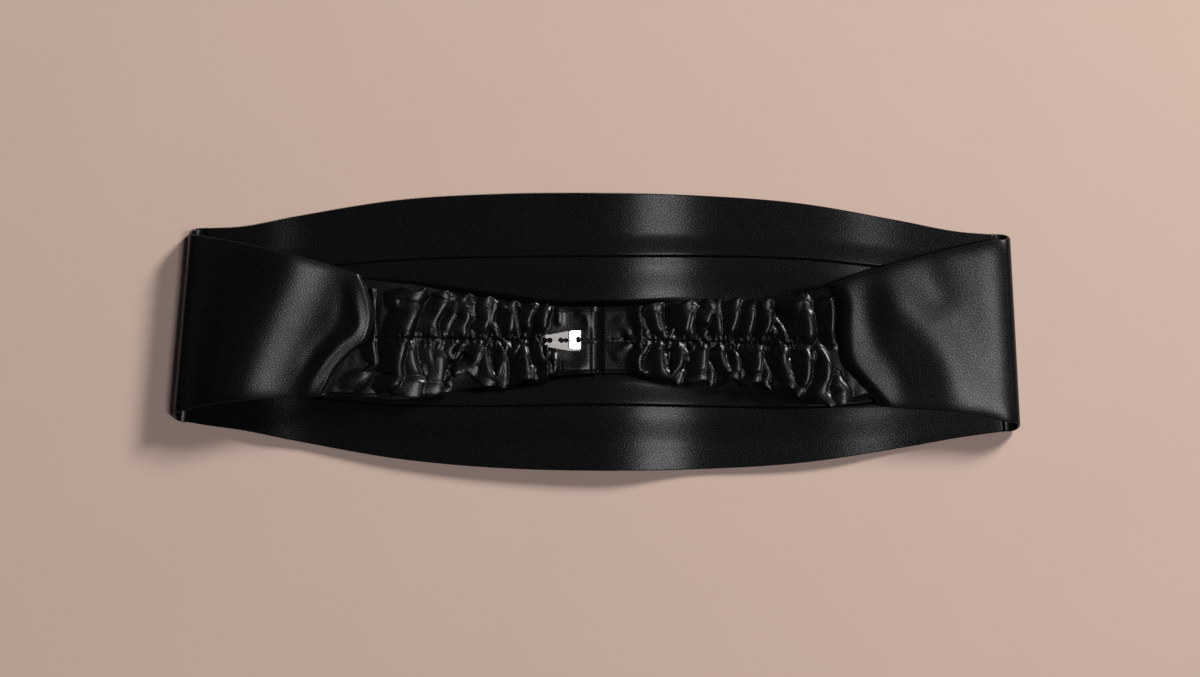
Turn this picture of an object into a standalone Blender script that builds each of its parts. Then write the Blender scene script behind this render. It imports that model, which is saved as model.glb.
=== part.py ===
"""A black satin cummerbund, fastened into a loop and laid flat.

The pleated front lies on the surface, face up. The plain side wings fold over its ends, and the
gathered back strap crosses above it, closed in the middle by two flat strap ends, one with a hook clip.

Metres, +Z up. The origin is the middle of the part on the surface that it lies on. +X runs along the
loop, and +Y points to the edge that is worn upwards. Tables are in millimetres, as their names say.
"""

import math
from collections import namedtuple

import bmesh
import bpy
import numpy as np

MM = 0.001

# Cloth and gaps
SEAM_GAP = 0.3 * MM  # between any two pieces
BACKING_WALL = 1.2 * MM
PLEAT_WALL = 1.0 * MM
WING_WALL = 2.0 * MM
STRAP_WALL = 2.0 * MM

# Wings: heights are those of the wall's middle
WING_FOLD_HEIGHT = 14.5 * MM
WING_END_HEIGHT = 14.2 * MM
WING_EDGE_DROP = 2.4 * MM  # the wing's long edges roll down by this
WING_EDGE_POWER = 4  # higher keeps the middle flatter
RIDGE_FADE = 0.2  # share of the wing's length over which its ridges fade in from the fold
WING_END_SAMPLES = 40

# Side folds
FOLD_LEFT_MM = (-206.3, -198.6)  # X of the left fold's outermost line, at its lower and upper ends
FOLD_RIGHT_MM = (206.3, 201.4)
FOLD_DEPTH = 6.0 * MM  # from a fold's outermost line to where its cloth is level again
SEAM_INSET = 8.0 * MM  # from a fold's outermost line to the seam of the front
WING_ROLL = 4.0 * MM  # the wing's inner end rounds down over this length
WING_LAP = 6.0 * MM  # the gathers reach this far under the wing

# Pleats
PLEAT_TUCK = 6.0 * MM  # a pleat's lower edge reaches this far under the next fold
PLEAT_LEVEL = 7.0 * MM  # a fold stays raised over this width
PLEAT_SLOPE = 5.0 * MM  # and comes down over this width

# Strap
STRAP_FAR = 122 * MM  # X at which its outer end's heights are read
STITCH_GROOVE = 0.6 * MM
STITCH_GROOVE_WIDTH = 2.5 * MM
GATHER_FADE = 4.0 * MM  # gathers fade in over this from the flat end, and out before the wing
GATHER_RISE = 0.45  # share of the way out from the stitching at which a gather has its height
GATHER_START = 0.05  # what it has of that way at the stitching

Outline = namedtuple("Outline", "x_mm top_mm bottom_mm")
FRONT = [
    Outline(-206, 48.2, -42.0),
    Outline(-194, 49.8, -44.4),
    Outline(-174, 50.8, -47.3),
    Outline(-145, 56.2, -53.0),
    Outline(-96, 63.9, -61.5),
    Outline(-47, 66.8, -65.9),
    Outline(2, 67.2, -67.2),
    Outline(50, 66.0, -66.4),
    Outline(99, 62.2, -63.4),
    Outline(148, 53.7, -56.1),
    Outline(177, 48.3, -51.0),
    Outline(194, 47.0, -48.6),
    Outline(206, 46.6, -47.0),
]
WING_LEFT = [
    Outline(-206, 47.4, -40.4),
    Outline(-196, 46.8, -36.6),
    Outline(-184, 44.8, -34.0),
    Outline(-169, 42.0, -32.4),
    Outline(-154, 38.4, -31.6),
    Outline(-139, 34.6, -31.0),
    Outline(-124, 30.4, -29.4),
    Outline(-110, 25.2, -28.0),
]
WING_RIGHT = [
    Outline(112, 21.6, -34.0),
    Outline(124, 26.2, -35.0),
    Outline(138, 30.6, -35.8),
    Outline(150, 33.8, -36.8),
    Outline(163, 37.2, -37.6),
    Outline(176, 40.4, -38.8),
    Outline(189, 43.2, -40.8),
    Outline(199, 45.0, -43.2),
    Outline(206, 46.4, -45.4),
]

# Where each pleat fold crosses the front, as a share of its height from the lower edge
PleatFolds = namedtuple("PleatFolds", "x_mm upper lower")
PLEAT_FOLDS = [
    PleatFolds(-200, 0.755, 0.205),
    PleatFolds(-121, 0.761, 0.195),
    PleatFolds(0, 0.768, 0.231),
    PleatFolds(135, 0.782, 0.202),
    PleatFolds(200, 0.775, 0.215),
]

# The wing's inner end: how far along X each height of the wing reaches, from lower to upper edge
WingEnd = namedtuple("WingEnd", "share x_mm")
WING_END_LEFT = [
    WingEnd(0.00, -134.0),
    WingEnd(0.17, -122.0),
    WingEnd(0.34, -111.5),
    WingEnd(0.55, -109.8),
    WingEnd(0.85, -110.8),
    WingEnd(1.00, -115.0),
]
WING_END_RIGHT = [
    WingEnd(0.00, 138.0),
    WingEnd(0.12, 131.0),
    WingEnd(0.32, 120.0),
    WingEnd(0.55, 117.6),
    WingEnd(0.85, 117.0),
    WingEnd(1.00, 113.0),
]

# A soft ridge or trough across a wing, from one point to another
Ridge = namedtuple("Ridge", "x1_mm y1_mm x2_mm y2_mm height_mm width_mm")
RIDGES_LEFT = [
    Ridge(-124, 30, -163, -33, 1.6, 11),
    Ridge(-140, 36, -188, -8, -1.2, 12),
    Ridge(-116, 21, -138, -24, -1.8, 6),
    Ridge(-112, -5, -143, -32, 1.6, 4),
]
RIDGES_RIGHT = [
    Ridge(146, 20, 196, -26, 1.5, 12),
    Ridge(139, 12, 142, -12, -2.2, 12),
    Ridge(127, 12, 127, -14, 1.4, 6),
    Ridge(129, -18, 150, -33, 1.2, 7),
]

Wing = namedtuple("Wing", "name side outline ridges end")
LEFT = Wing("wing_left", -1, WING_LEFT, RIDGES_LEFT, WING_END_LEFT)
RIGHT = Wing("wing_right", 1, WING_RIGHT, RIDGES_RIGHT, WING_END_RIGHT)

# The strap's outline, the stitching along its middle and its underside's height, from wing to wing
Strap = namedtuple("Strap", "x_mm top_mm bottom_mm stitch_mm under_mm")
STRAP = [
    Strap(-142, 24.6, -27.0, -2.0, 8.6),
    Strap(-128, 24.2, -26.6, -2.4, 8.6),
    Strap(-110, 23.2, -27.8, -3.0, 8.2),
    Strap(-84, 20.6, -28.4, -3.4, 6.0),
    Strap(-62, 17.4, -26.8, -4.0, 3.9),
    Strap(-42, 14.4, -24.8, -4.4, 3.7),
    Strap(-24, 12.2, -21.6, -4.4, 4.7),
    Strap(0, 11.8, -19.8, -4.4, 4.7),
    Strap(22, 12.4, -20.6, -4.6, 2.8),
    Strap(42, 13.8, -24.0, -5.0, 2.9),
    Strap(62, 15.0, -25.8, -5.6, 3.6),
    Strap(84, 16.4, -28.6, -6.4, 5.8),
    Strap(104, 18.8, -32.6, -6.8, 7.8),
    Strap(120, 19.6, -33.2, -7.2, 8.6),
    Strap(144, 20.0, -33.4, -7.4, 8.6),
]

# A gather runs from the stitching to one long edge of the strap: half 1 is the upper, -1 the lower.
# Its lift pulls the strap's edge in where it ends, as an arch does.
Gather = namedtuple("Gather", "half stitch_mm middle_mm edge_mm height_mm width_mm lift_mm")
GATHERS_LEFT = [
    Gather(1, -99.0, -98.0, -93.5, 2.4, 3.6, 0.3),
    Gather(1, -91.0, -88.5, -84.0, 4.0, 2.6, 0.4),
    Gather(1, -77.6, -78.6, -73.4, 4.0, 2.2, 0.4),
    Gather(1, -71.8, -70.8, -66.2, 3.0, 1.8, 0.2),
    Gather(1, -63.6, -64.6, -60.8, 4.0, 2.2, 0.4),
    Gather(1, -54.6, -53.8, -52.6, 4.2, 2.0, 0.4),
    Gather(1, -47.8, -49.0, -47.2, 3.0, 1.8, 0.2),
    Gather(1, -41.6, -41.4, -41.4, 3.8, 2.0, 0.4),
    Gather(1, -34.4, -33.2, -30.8, 3.6, 1.9, 0.4),
    Gather(-1, -95.0, -97.4, -99.0, 3.6, 3.0, 0.6),
    Gather(-1, -89.5, -88.6, -87.4, 3.4, 2.4, 0.6),
    Gather(-1, -80.4, -80.6, -79.6, 3.2, 2.2, 0.4),
    Gather(-1, -72.0, -72.0, -73.0, 2.8, 2.4, 0.6),
    Gather(-1, -57.0, -60.2, -65.0, 4.4, 3.2, 4.6),
    Gather(-1, -50.0, -50.8, -49.4, 4.0, 2.6, 1.0),
    Gather(-1, -42.0, -43.0, -42.0, 3.0, 1.9, 0.4),
    Gather(-1, -34.6, -33.8, -32.6, 4.2, 2.4, 3.6),
]
GATHERS_RIGHT = [
    Gather(1, 26.8, 27.0, 27.4, 3.2, 1.8, 0.2),
    Gather(1, 32.8, 32.6, 32.6, 3.0, 1.8, 0.3),
    Gather(1, 38.8, 38.6, 38.8, 3.2, 1.8, 0.2),
    Gather(1, 43.6, 44.6, 46.2, 4.2, 2.0, 0.5),
    Gather(1, 52.6, 53.2, 55.2, 3.8, 1.9, 0.4),
    Gather(1, 60.2, 60.2, 60.8, 3.8, 1.9, 0.4),
    Gather(1, 66.0, 67.4, 69.0, 4.2, 2.0, 0.5),
    Gather(1, 74.2, 75.6, 74.6, 3.6, 2.0, 0.3),
    Gather(1, 81.6, 83.2, 83.6, 4.0, 2.2, 0.4),
    Gather(1, 91.6, 91.4, 92.6, 2.8, 2.4, 0.2),
    Gather(1, 102.0, 103.2, 101.8, 4.4, 3.0, 0.8),
    Gather(-1, 28.0, 27.4, 27.6, 3.4, 2.0, 0.6),
    Gather(-1, 35.6, 36.0, 36.0, 3.8, 2.6, 1.0),
    Gather(-1, 43.8, 44.2, 44.4, 3.0, 1.9, 0.4),
    Gather(-1, 52.2, 52.0, 52.2, 4.2, 2.4, 3.2),
    Gather(-1, 62.0, 64.0, 66.8, 4.2, 2.6, 3.8),
    Gather(-1, 70.8, 71.2, 72.6, 2.8, 1.8, 0.4),
    Gather(-1, 78.6, 78.6, 78.8, 4.4, 2.4, 3.8),
    Gather(-1, 90.0, 91.4, 94.4, 4.2, 2.8, 3.4),
    Gather(-1, 101.0, 102.4, 102.6, 4.0, 2.4, 0.8),
    Gather(-1, 110.4, 112.0, 113.0, 3.8, 2.4, 0.8),
]

# Strap ends. The left one lies over the right one where they meet.
LEFT_END_X = (-24.0 * MM, -0.5 * MM)
RIGHT_END_X = (-7.5 * MM, 22.0 * MM)
RIGHT_END_UNDERSIDE = 2.8 * MM
RIGHT_END_THIN = 1.6 * MM  # thickness of the right end where the left one lies on it
RIGHT_END_SWELL = (0.5 * MM, 6.0 * MM)  # it thickens between these
LEFT_END_UNDERSIDE = RIGHT_END_UNDERSIDE + RIGHT_END_THIN + SEAM_GAP

# Hook clip. u runs from its left tip to its right end, v across it, upwards.
CLIP_LEFT_X = -25.3 * MM
CLIP_MIDDLE_Y = -4.1 * MM
CLIP_SHEET = 0.7 * MM
CLIP_BEND_GAP = 0.9 * MM
CLIP_LENGTH = 18.1 * MM
CLIP_WAIST = 2.4 * MM  # u where the sides start to widen
CLIP_SHOULDER = 12.1 * MM  # u where the sides are at their widest, and where the folded lip ends
CLIP_NARROW = (-3.4 * MM, 2.8 * MM)  # v of the sides at the waist
CLIP_WIDE = (-5.1 * MM, 4.7 * MM)  # and from the shoulder on
PRONG_RADIUS = 1.0 * MM
PRONG_SPACING = 3.9 * MM
FORK_RADIUS = 1.3 * MM
FORK_U = 2.4 * MM
FORK_MOUTH = 1.7 * MM
BONE_LARGE = (7.8 * MM, 1.3 * MM)  # u of the circle's middle, and its radius
BONE_SMALL = (10.3 * MM, 1.1 * MM)
BONE_NECK = 1.3 * MM
LIP_V = (-4.1 * MM, 4.7 * MM)
LIP_CORNER = 0.8 * MM
LIP_NOTCH_U = (15.1 * MM, 17.2 * MM)
LIP_NOTCH_V = (-1.1 * MM, 1.8 * MM)
LIP_NOTCH_CORNER = 0.7 * MM
LIP_MOUTH_V = (-0.4 * MM, 1.1 * MM)

# Grids
FRONT_COLUMNS = 30
BACKING_ROWS = 3
WING_ROWS = 12
WING_LOWER_COLUMNS = 2
WING_FOLD_COLUMNS = 8
WING_UPPER_COLUMNS = 15
GATHER_COLUMN = 1.2 * MM
GATHER_HALF_ROWS = 4
STRAP_END_COLUMNS = 12
STRAP_END_ROWS = 6
CORNER_STEPS = 3
PRONG_STEPS = 8
FORK_STEPS = 10
BONE_STEPS = 12
BEND_OUTER_STEPS = 10
BEND_INNER_STEPS = 6
SHARP_DEGREES = 50  # edges bent further than this are drawn sharp

SATIN_BLACK = (0.008, 0.008, 0.009, 1.0)
SATIN_ROUGHNESS = 0.35
NICKEL = (0.72, 0.70, 0.67, 1.0)
NICKEL_ROUGHNESS = 0.3


def clear_scene():
    for obj in list(bpy.data.objects):
        bpy.data.objects.remove(obj)


def material(name, colour, roughness, metallic):
    made = bpy.data.materials.new(name)
    made.use_nodes = True
    shader = made.node_tree.nodes["Principled BSDF"]
    shader.inputs["Base Color"].default_value = colour
    shader.inputs["Roughness"].default_value = roughness
    shader.inputs["Metallic"].default_value = metallic
    return made


def curve(table, column, key="x_mm"):
    """A smooth curve through one column of a table, as a function of the key column."""
    keys = np.array([getattr(row, key) for row in table], float)
    values = np.array([getattr(row, column) for row in table], float)
    slopes = np.gradient(values, keys)

    def at(x):
        x = np.clip(x, keys[0], keys[-1])
        i = np.clip(np.searchsorted(keys, x) - 1, 0, len(keys) - 2)
        step = keys[i + 1] - keys[i]
        t = (x - keys[i]) / step
        return (
            (2 * t**3 - 3 * t**2 + 1) * values[i]
            + (t**3 - 2 * t**2 + t) * step * slopes[i]
            + (3 * t**2 - 2 * t**3) * values[i + 1]
            + (t**3 - t**2) * step * slopes[i + 1]
        )

    return at


def edge(table, column):
    """The same curve with X and the result in metres."""
    at = curve(table, column)
    return lambda x: at(x / MM) * MM


def smooth(t):
    t = np.clip(t, 0, 1)
    return t * t * (3 - 2 * t)


FRONT_TOP = edge(FRONT, "top_mm")
FRONT_BOTTOM = edge(FRONT, "bottom_mm")
STRAP_TOP = edge(STRAP, "top_mm")
STRAP_BOTTOM = edge(STRAP, "bottom_mm")
STRAP_STITCH = edge(STRAP, "stitch_mm")
STRAP_UNDER = edge(STRAP, "under_mm")


def solid(name, lower, upper, surface):
    """A closed solid between two grids of points, lower and upper, joined round their rims."""
    rows, columns = lower.shape[:2]
    count = rows * columns
    points = np.concatenate([lower.reshape(-1, 3), upper.reshape(-1, 3)])

    def index(i, j, side):
        return side * count + i * columns + j

    faces = []
    for i in range(rows - 1):
        for j in range(columns - 1):
            ring = [(i, j), (i + 1, j), (i + 1, j + 1), (i, j + 1)]
            faces.append([index(*corner, 1) for corner in ring])
            faces.append([index(*corner, 0) for corner in reversed(ring)])
    rim = [(i, 0) for i in range(rows)]
    rim += [(rows - 1, j) for j in range(1, columns)]
    rim += [(i, columns - 1) for i in range(rows - 2, -1, -1)]
    rim += [(0, j) for j in range(columns - 2, 0, -1)]
    for here, after in zip(rim, rim[1:] + rim[:1]):
        faces.append([index(*here, 0), index(*after, 0), index(*after, 1), index(*here, 1)])
    mesh = bpy.data.meshes.new(name)
    mesh.from_pydata(points.tolist(), [], faces)
    mesh.update()
    obj = bpy.data.objects.new(name, mesh)
    bpy.context.scene.collection.objects.link(obj)
    mesh.materials.append(surface)
    mesh.shade_smooth()
    mesh.set_sharp_from_angle(angle=math.radians(SHARP_DEGREES))
    return obj


def wall(name, middle, thickness, surface):
    """A wall of even thickness whose middle is the grid of points."""
    along = np.gradient(middle, axis=0)
    across = np.gradient(middle, axis=1)
    normal = np.cross(along, across)
    normal /= np.linalg.norm(normal, axis=2, keepdims=True)
    offset = normal * thickness / 2
    return solid(name, middle - offset, middle + offset, surface)


def upright(name, x, y, lower, upper, surface):
    """A solid between two heights over the same places."""
    return solid(name, np.stack([x, y, lower], axis=2), np.stack([x, y, upper], axis=2), surface)


def fold_line(side, share):
    """X of the wall's middle along a side fold, at a share of the wing's height from its lower edge."""
    bottom, top = FOLD_LEFT_MM if side < 0 else FOLD_RIGHT_MM
    return (bottom + (top - bottom) * share) * MM - side * WING_WALL / 2


def seam(side, share):
    return fold_line(side, share) - side * SEAM_INSET


def front_points(share):
    """X and Y of the front, a column for each step from seam to seam, at shares of its height."""
    across = np.linspace(0, 1, FRONT_COLUMNS + 1)[:, None]
    left = seam(-1, share) + SEAM_GAP / 2
    right = seam(1, share) - SEAM_GAP / 2
    x = left + (right - left) * across
    y = FRONT_BOTTOM(x) + (FRONT_TOP(x) - FRONT_BOTTOM(x)) * share
    return x, y


def make_backing(satin):
    x, y = front_points(np.linspace(0, 1, BACKING_ROWS + 1)[None, :])
    upright("front_backing", x, y, np.zeros_like(x), np.full_like(x, BACKING_WALL), satin)


def make_pleats(satin):
    """Three pleats, from the top: each fold lies over the lower edge of the pleat above it."""
    low = BACKING_WALL + SEAM_GAP
    raised = PLEAT_WALL + SEAM_GAP
    x = np.linspace(seam(-1, 0.5), seam(1, 0.5), FRONT_COLUMNS + 1)[:, None]
    height = FRONT_TOP(x) - FRONT_BOTTOM(x)
    upper = curve(PLEAT_FOLDS, "upper")(x / MM)
    lower = curve(PLEAT_FOLDS, "lower")(x / MM)
    tuck = PLEAT_TUCK / height
    spans = {"upper": (1 + 0 * x, upper - tuck), "middle": (upper, lower - tuck), "lower": (lower, 0 * x)}
    for name, (top, bottom) in spans.items():
        drops = np.array([0, PLEAT_LEVEL, PLEAT_LEVEL + PLEAT_SLOPE / 2, PLEAT_LEVEL + PLEAT_SLOPE])
        share = np.concatenate([bottom, top - drops[::-1] / height], axis=1)
        lift = (0 if name == "upper" else raised) * np.array([0, 0, 0.5, 1, 1])
        x_here, y = front_points(share)
        under = low + lift + 0 * y
        upright(f"pleat_{name}", x_here, y, under, under + PLEAT_WALL, satin)


def ridge_lift(x, y, ridges):
    """Height that soft straight ridges add at each place."""
    total = np.zeros_like(x)
    for ridge in ridges:
        start = np.array([ridge.x1_mm, ridge.y1_mm]) * MM
        run = np.array([ridge.x2_mm, ridge.y2_mm]) * MM - start
        along = np.clip(((x - start[0]) * run[0] + (y - start[1]) * run[1]) / (run @ run), 0, 1)
        away = np.hypot(x - start[0] - along * run[0], y - start[1] - along * run[1])
        total += ridge.height_mm * MM * np.exp(-((away / (ridge.width_mm * MM)) ** 2))
    return total


def wing_points(wing, share, forward):
    """Points of a wing's upper layer. share is their height from its lower edge, and forward their way
    from the fold to the inner end."""
    ends = curve(wing.end, "x_mm", "share")(share) * MM
    start = fold_line(wing.side, share) - wing.side * FOLD_DEPTH
    x = start + (ends - start) * forward
    top, bottom = edge(wing.outline, "top_mm"), edge(wing.outline, "bottom_mm")
    y = bottom(x) + (top(x) - bottom(x)) * share
    height = WING_FOLD_HEIGHT + (WING_END_HEIGHT - WING_FOLD_HEIGHT) * forward
    height = height - WING_EDGE_DROP * np.abs(2 * share - 1) ** WING_EDGE_POWER
    height = height + ridge_lift(x, y, wing.ridges) * smooth(forward / RIDGE_FADE)
    seat = STRAP_UNDER(ends) + STRAP_WALL + SEAM_GAP + WING_WALL / 2
    nearness = np.clip(1 - np.abs(ends - x) / WING_ROLL, 0, 1)
    roll = 1 - np.sqrt(1 - nearness**2)
    return np.stack([x, y, height + (seat - height) * roll], axis=-1)


def make_wing(wing, satin):
    """A side wing: a little cloth on the surface, a fold, and the upper layer that tapers to the strap."""
    share = np.linspace(0, 1, WING_ROWS + 1)[None, :]
    fold_x = fold_line(wing.side, share) - wing.side * FOLD_DEPTH
    start = seam(wing.side, share) + wing.side * SEAM_GAP / 2
    x = start + (fold_x - start) * np.linspace(0, 1, WING_LOWER_COLUMNS + 1)[:, None]
    y = FRONT_BOTTOM(x) + (FRONT_TOP(x) - FRONT_BOTTOM(x)) * share
    lower = np.stack([x, y, np.full_like(x, WING_WALL / 2)], axis=-1)
    upper = wing_points(wing, share, np.linspace(0, 1, WING_UPPER_COLUMNS + 1)[:, None])

    turn = np.linspace(0, 1, WING_FOLD_COLUMNS + 1)[1:-1, None]
    angle = math.pi * (turn - 0.5)
    x = fold_x + wing.side * FOLD_DEPTH * np.cos(angle)
    y = lower[-1, :, 1] + (upper[0, :, 1] - lower[-1, :, 1]) * smooth(turn)
    z = lower[-1, :, 2] + (upper[0, :, 2] - lower[-1, :, 2]) * (1 + np.sin(angle)) / 2
    middle = np.concatenate([lower, np.stack([x, y, z], axis=-1), upper])
    if wing.side > 0:
        middle = middle[:, ::-1]
    wall(wing.name, middle, WING_WALL, satin)


def wing_end_x(wing, y):
    """X of a wing's inner end at each Y."""
    share = np.linspace(0, 1, WING_END_SAMPLES)
    end = wing_points(wing, share, 1.0)
    return np.interp(y, end[:, 1], end[:, 0])


def gather_lift(x, half, out, gathers):
    """Height of the gathers, and how far they pull the edge in. out runs from 0 at the stitching to 1."""
    height = np.zeros_like(x)
    pull = np.zeros_like(x)
    for gather in gathers:
        crest = gather.stitch_mm * (1 - out) * (1 - 2 * out)
        crest = crest + gather.middle_mm * 4 * out * (1 - out) + gather.edge_mm * out * (2 * out - 1)
        near = np.exp(-(((x / MM - crest) / gather.width_mm) ** 2)) * (half == gather.half)
        height += gather.height_mm * MM * near * smooth(out / GATHER_RISE + GATHER_START)
        pull += gather.lift_mm * MM * near
    return height, pull


def make_gathers(name, wing, gathers, satin):
    """One gathered half of the strap, from the flat strap end to under its wing."""
    side = wing.side
    inner = (LEFT_END_X[0] if side < 0 else RIGHT_END_X[1]) + side * SEAM_GAP
    reach = np.linspace(-1, 1, 2 * GATHER_HALF_ROWS + 1)[None, :]
    half = np.where(reach < 0, -1, 1)
    out = np.abs(reach)
    far = STRAP_FAR * side
    far_edge = np.where(half > 0, STRAP_TOP(far), STRAP_BOTTOM(far))
    rim = STRAP_STITCH(far) + (far_edge - STRAP_STITCH(far)) * out
    outer = wing_end_x(wing, rim) + side * WING_LAP
    columns = int(abs(outer.mean() - inner) / GATHER_COLUMN)
    x = inner + (outer - inner) * np.linspace(0, 1, columns + 1)[:, None]
    lift, pull = gather_lift(x, half, out, gathers)
    stitch = STRAP_STITCH(x)
    limit = np.where(half > 0, STRAP_TOP(x), STRAP_BOTTOM(x))
    y = stitch + (limit - stitch) * out - half * pull * out**2
    groove = STITCH_GROOVE * np.exp(-(((y - stitch) / STITCH_GROOVE_WIDTH) ** 2))
    free = smooth(side * (wing_end_x(wing, y) - x) / GATHER_FADE)
    free = free * smooth(side * (x - inner) / GATHER_FADE)
    under = STRAP_UNDER(x) + lift * free
    upper = under + STRAP_WALL - groove * free
    if side < 0:
        x, y, under, upper = x[::-1], y[::-1], under[::-1], upper[::-1]
    upright(name, x, y, under, upper, satin)


def end_grid(span):
    """X and Y of a flat strap end."""
    x = np.linspace(*span, STRAP_END_COLUMNS + 1)[:, None]
    share = np.linspace(0, 1, STRAP_END_ROWS + 1)[None, :]
    return x + 0 * share, STRAP_BOTTOM(x) + (STRAP_TOP(x) - STRAP_BOTTOM(x)) * share


def make_strap_ends(satin):
    x, y = end_grid(LEFT_END_X)
    under = np.full_like(x, LEFT_END_UNDERSIDE)
    upright("strap_end_left", x, y, under, under + STRAP_WALL, satin)
    x, y = end_grid(RIGHT_END_X)
    under = np.full_like(x, RIGHT_END_UNDERSIDE)
    swell = smooth((x - RIGHT_END_SWELL[0]) / (RIGHT_END_SWELL[1] - RIGHT_END_SWELL[0]))
    thickness = RIGHT_END_THIN + (STRAP_WALL - RIGHT_END_THIN) * swell
    upright("strap_end_right", x, y, under, under + thickness, satin)


def arc(middle_u, middle_v, radius, start_degrees, end_degrees, steps):
    angles = np.radians(np.linspace(start_degrees, end_degrees, steps + 1))
    return [(middle_u + radius * math.cos(a), middle_v + radius * math.sin(a)) for a in angles]


def rounded_box(u, v, radius):
    """A rectangle with round corners, anticlockwise."""
    corners = [(u[1], v[0], -90), (u[1], v[1], 0), (u[0], v[1], 90), (u[0], v[0], 180)]
    points = []
    for corner_u, corner_v, angle in corners:
        middle_u = corner_u - math.copysign(radius, corner_u - sum(u) / 2)
        middle_v = corner_v - math.copysign(radius, corner_v - sum(v) / 2)
        points += arc(middle_u, middle_v, radius, angle, angle + 90, CORNER_STEPS)
    return points


def extruded(name, ring, run):
    """A prism from a ring of points u, v, w in the clip's own frame, and the vector it is drawn along."""
    base = LEFT_END_UNDERSIDE + STRAP_WALL + SEAM_GAP
    shape = bmesh.new()
    verts = [shape.verts.new((CLIP_LEFT_X + u, CLIP_MIDDLE_Y + v, base + w)) for u, v, w in ring]
    face = shape.faces.new(verts)
    drawn = bmesh.ops.extrude_face_region(shape, geom=[face])["geom"]
    moved = [item for item in drawn if isinstance(item, bmesh.types.BMVert)]
    bmesh.ops.translate(shape, verts=moved, vec=run)
    bmesh.ops.recalc_face_normals(shape, faces=shape.faces)
    mesh = bpy.data.meshes.new(name)
    shape.to_mesh(mesh)
    shape.free()
    obj = bpy.data.objects.new(name, mesh)
    bpy.context.scene.collection.objects.link(obj)
    return obj


def plate(name, outline, bottom, top):
    return extruded(name, [(u, v, bottom) for u, v in outline], (0, 0, top - bottom))


def combine(target, tool, operation):
    """Adds a Boolean whose tool is drawn as a wire guide and isn't rendered."""
    tool.hide_render = True
    tool.display_type = "WIRE"
    boolean = target.modifiers.new(tool.name, "BOOLEAN")
    boolean.operation = operation
    boolean.object = tool


def plate_outline(right):
    """The plate: a round-tipped fork at the left, sides that widen, and a square right end."""
    prong_v = PRONG_SPACING / 2
    mouth = math.degrees(math.asin(FORK_MOUTH / 2 / FORK_RADIUS))
    outline = arc(PRONG_RADIUS, -prong_v, PRONG_RADIUS, 60, 250, PRONG_STEPS)
    outline += [(CLIP_WAIST, CLIP_NARROW[0]), (CLIP_SHOULDER, CLIP_WIDE[0]), (right, CLIP_WIDE[0])]
    outline += [(right, CLIP_WIDE[1]), (CLIP_SHOULDER, CLIP_WIDE[1]), (CLIP_WAIST, CLIP_NARROW[1])]
    outline += arc(PRONG_RADIUS, prong_v, PRONG_RADIUS, 110, 300, PRONG_STEPS)
    outline += arc(FORK_U, 0, FORK_RADIUS, 180 - mouth, mouth - 180, FORK_STEPS)
    return outline


def bone_outline():
    """A slot of two circles joined by a neck."""
    neck = BONE_NECK / 2
    outline = []
    for (middle, radius), start in ((BONE_LARGE, 0), (BONE_SMALL, 180)):
        lean = math.degrees(math.asin(neck / radius))
        outline += arc(middle, 0, radius, start + lean, start + 360 - lean, BONE_STEPS)
    return outline


def lip_profile(bend):
    """The folded end seen from its side, as u, w: the lip, the bend and a little of the plate."""
    middle = CLIP_SHEET + CLIP_BEND_GAP / 2
    top = 2 * middle
    outline = [(CLIP_SHOULDER, top - CLIP_SHEET), (CLIP_SHOULDER, top)]
    outline += arc(bend, middle, middle, 90, -90, BEND_OUTER_STEPS)
    outline += [(bend - CLIP_SHEET, 0), (bend - CLIP_SHEET, CLIP_SHEET)]
    outline += arc(bend, middle, CLIP_BEND_GAP / 2, -90, 90, BEND_INNER_STEPS)
    return outline


def make_clip(nickel):
    """The hook clip: a flat plate whose right end is folded back over it as a lip."""
    below, above = -CLIP_SHEET, 4 * CLIP_SHEET + CLIP_BEND_GAP
    bend = CLIP_LENGTH - CLIP_SHEET - CLIP_BEND_GAP / 2
    side = [(u, LIP_V[0], w) for u, w in lip_profile(bend)]
    clip = extruded("hook_clip", side, (0, LIP_V[1] - LIP_V[0], 0))
    corners = rounded_box((CLIP_SHOULDER, CLIP_LENGTH), LIP_V, LIP_CORNER)
    combine(clip, plate("lip_corners", corners, below, above), "INTERSECT")
    combine(clip, plate("plate", plate_outline(bend), 0, CLIP_SHEET), "UNION")
    combine(clip, plate("bone_slot", bone_outline(), below, above), "DIFFERENCE")
    notch = rounded_box(LIP_NOTCH_U, LIP_NOTCH_V, LIP_NOTCH_CORNER)
    combine(clip, plate("lip_notch", notch, below, above), "DIFFERENCE")
    mouth = rounded_box((sum(LIP_NOTCH_U) / 2, CLIP_LENGTH + CLIP_SHEET), LIP_MOUTH_V, LIP_CORNER / 4)
    combine(clip, plate("lip_mouth", mouth, below, above), "DIFFERENCE")
    clip.data.materials.append(nickel)


def main():
    clear_scene()
    satin = material("satin", SATIN_BLACK, SATIN_ROUGHNESS, 0.0)
    nickel = material("nickel", NICKEL, NICKEL_ROUGHNESS, 1.0)
    make_backing(satin)
    make_pleats(satin)
    make_wing(LEFT, satin)
    make_gathers("gathers_left", LEFT, GATHERS_LEFT, satin)
    make_wing(RIGHT, satin)
    make_gathers("gathers_right", RIGHT, GATHERS_RIGHT, satin)
    make_strap_ends(satin)
    make_clip(nickel)


main()
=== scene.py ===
"""The looks of the cummerbund: satin, gathers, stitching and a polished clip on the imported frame.

Metres, +Z up, in the frame's own axes. Tables are in millimetres, as their names say. The camera
looks straight down, as the photograph does.
"""

import math
from collections import namedtuple

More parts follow.
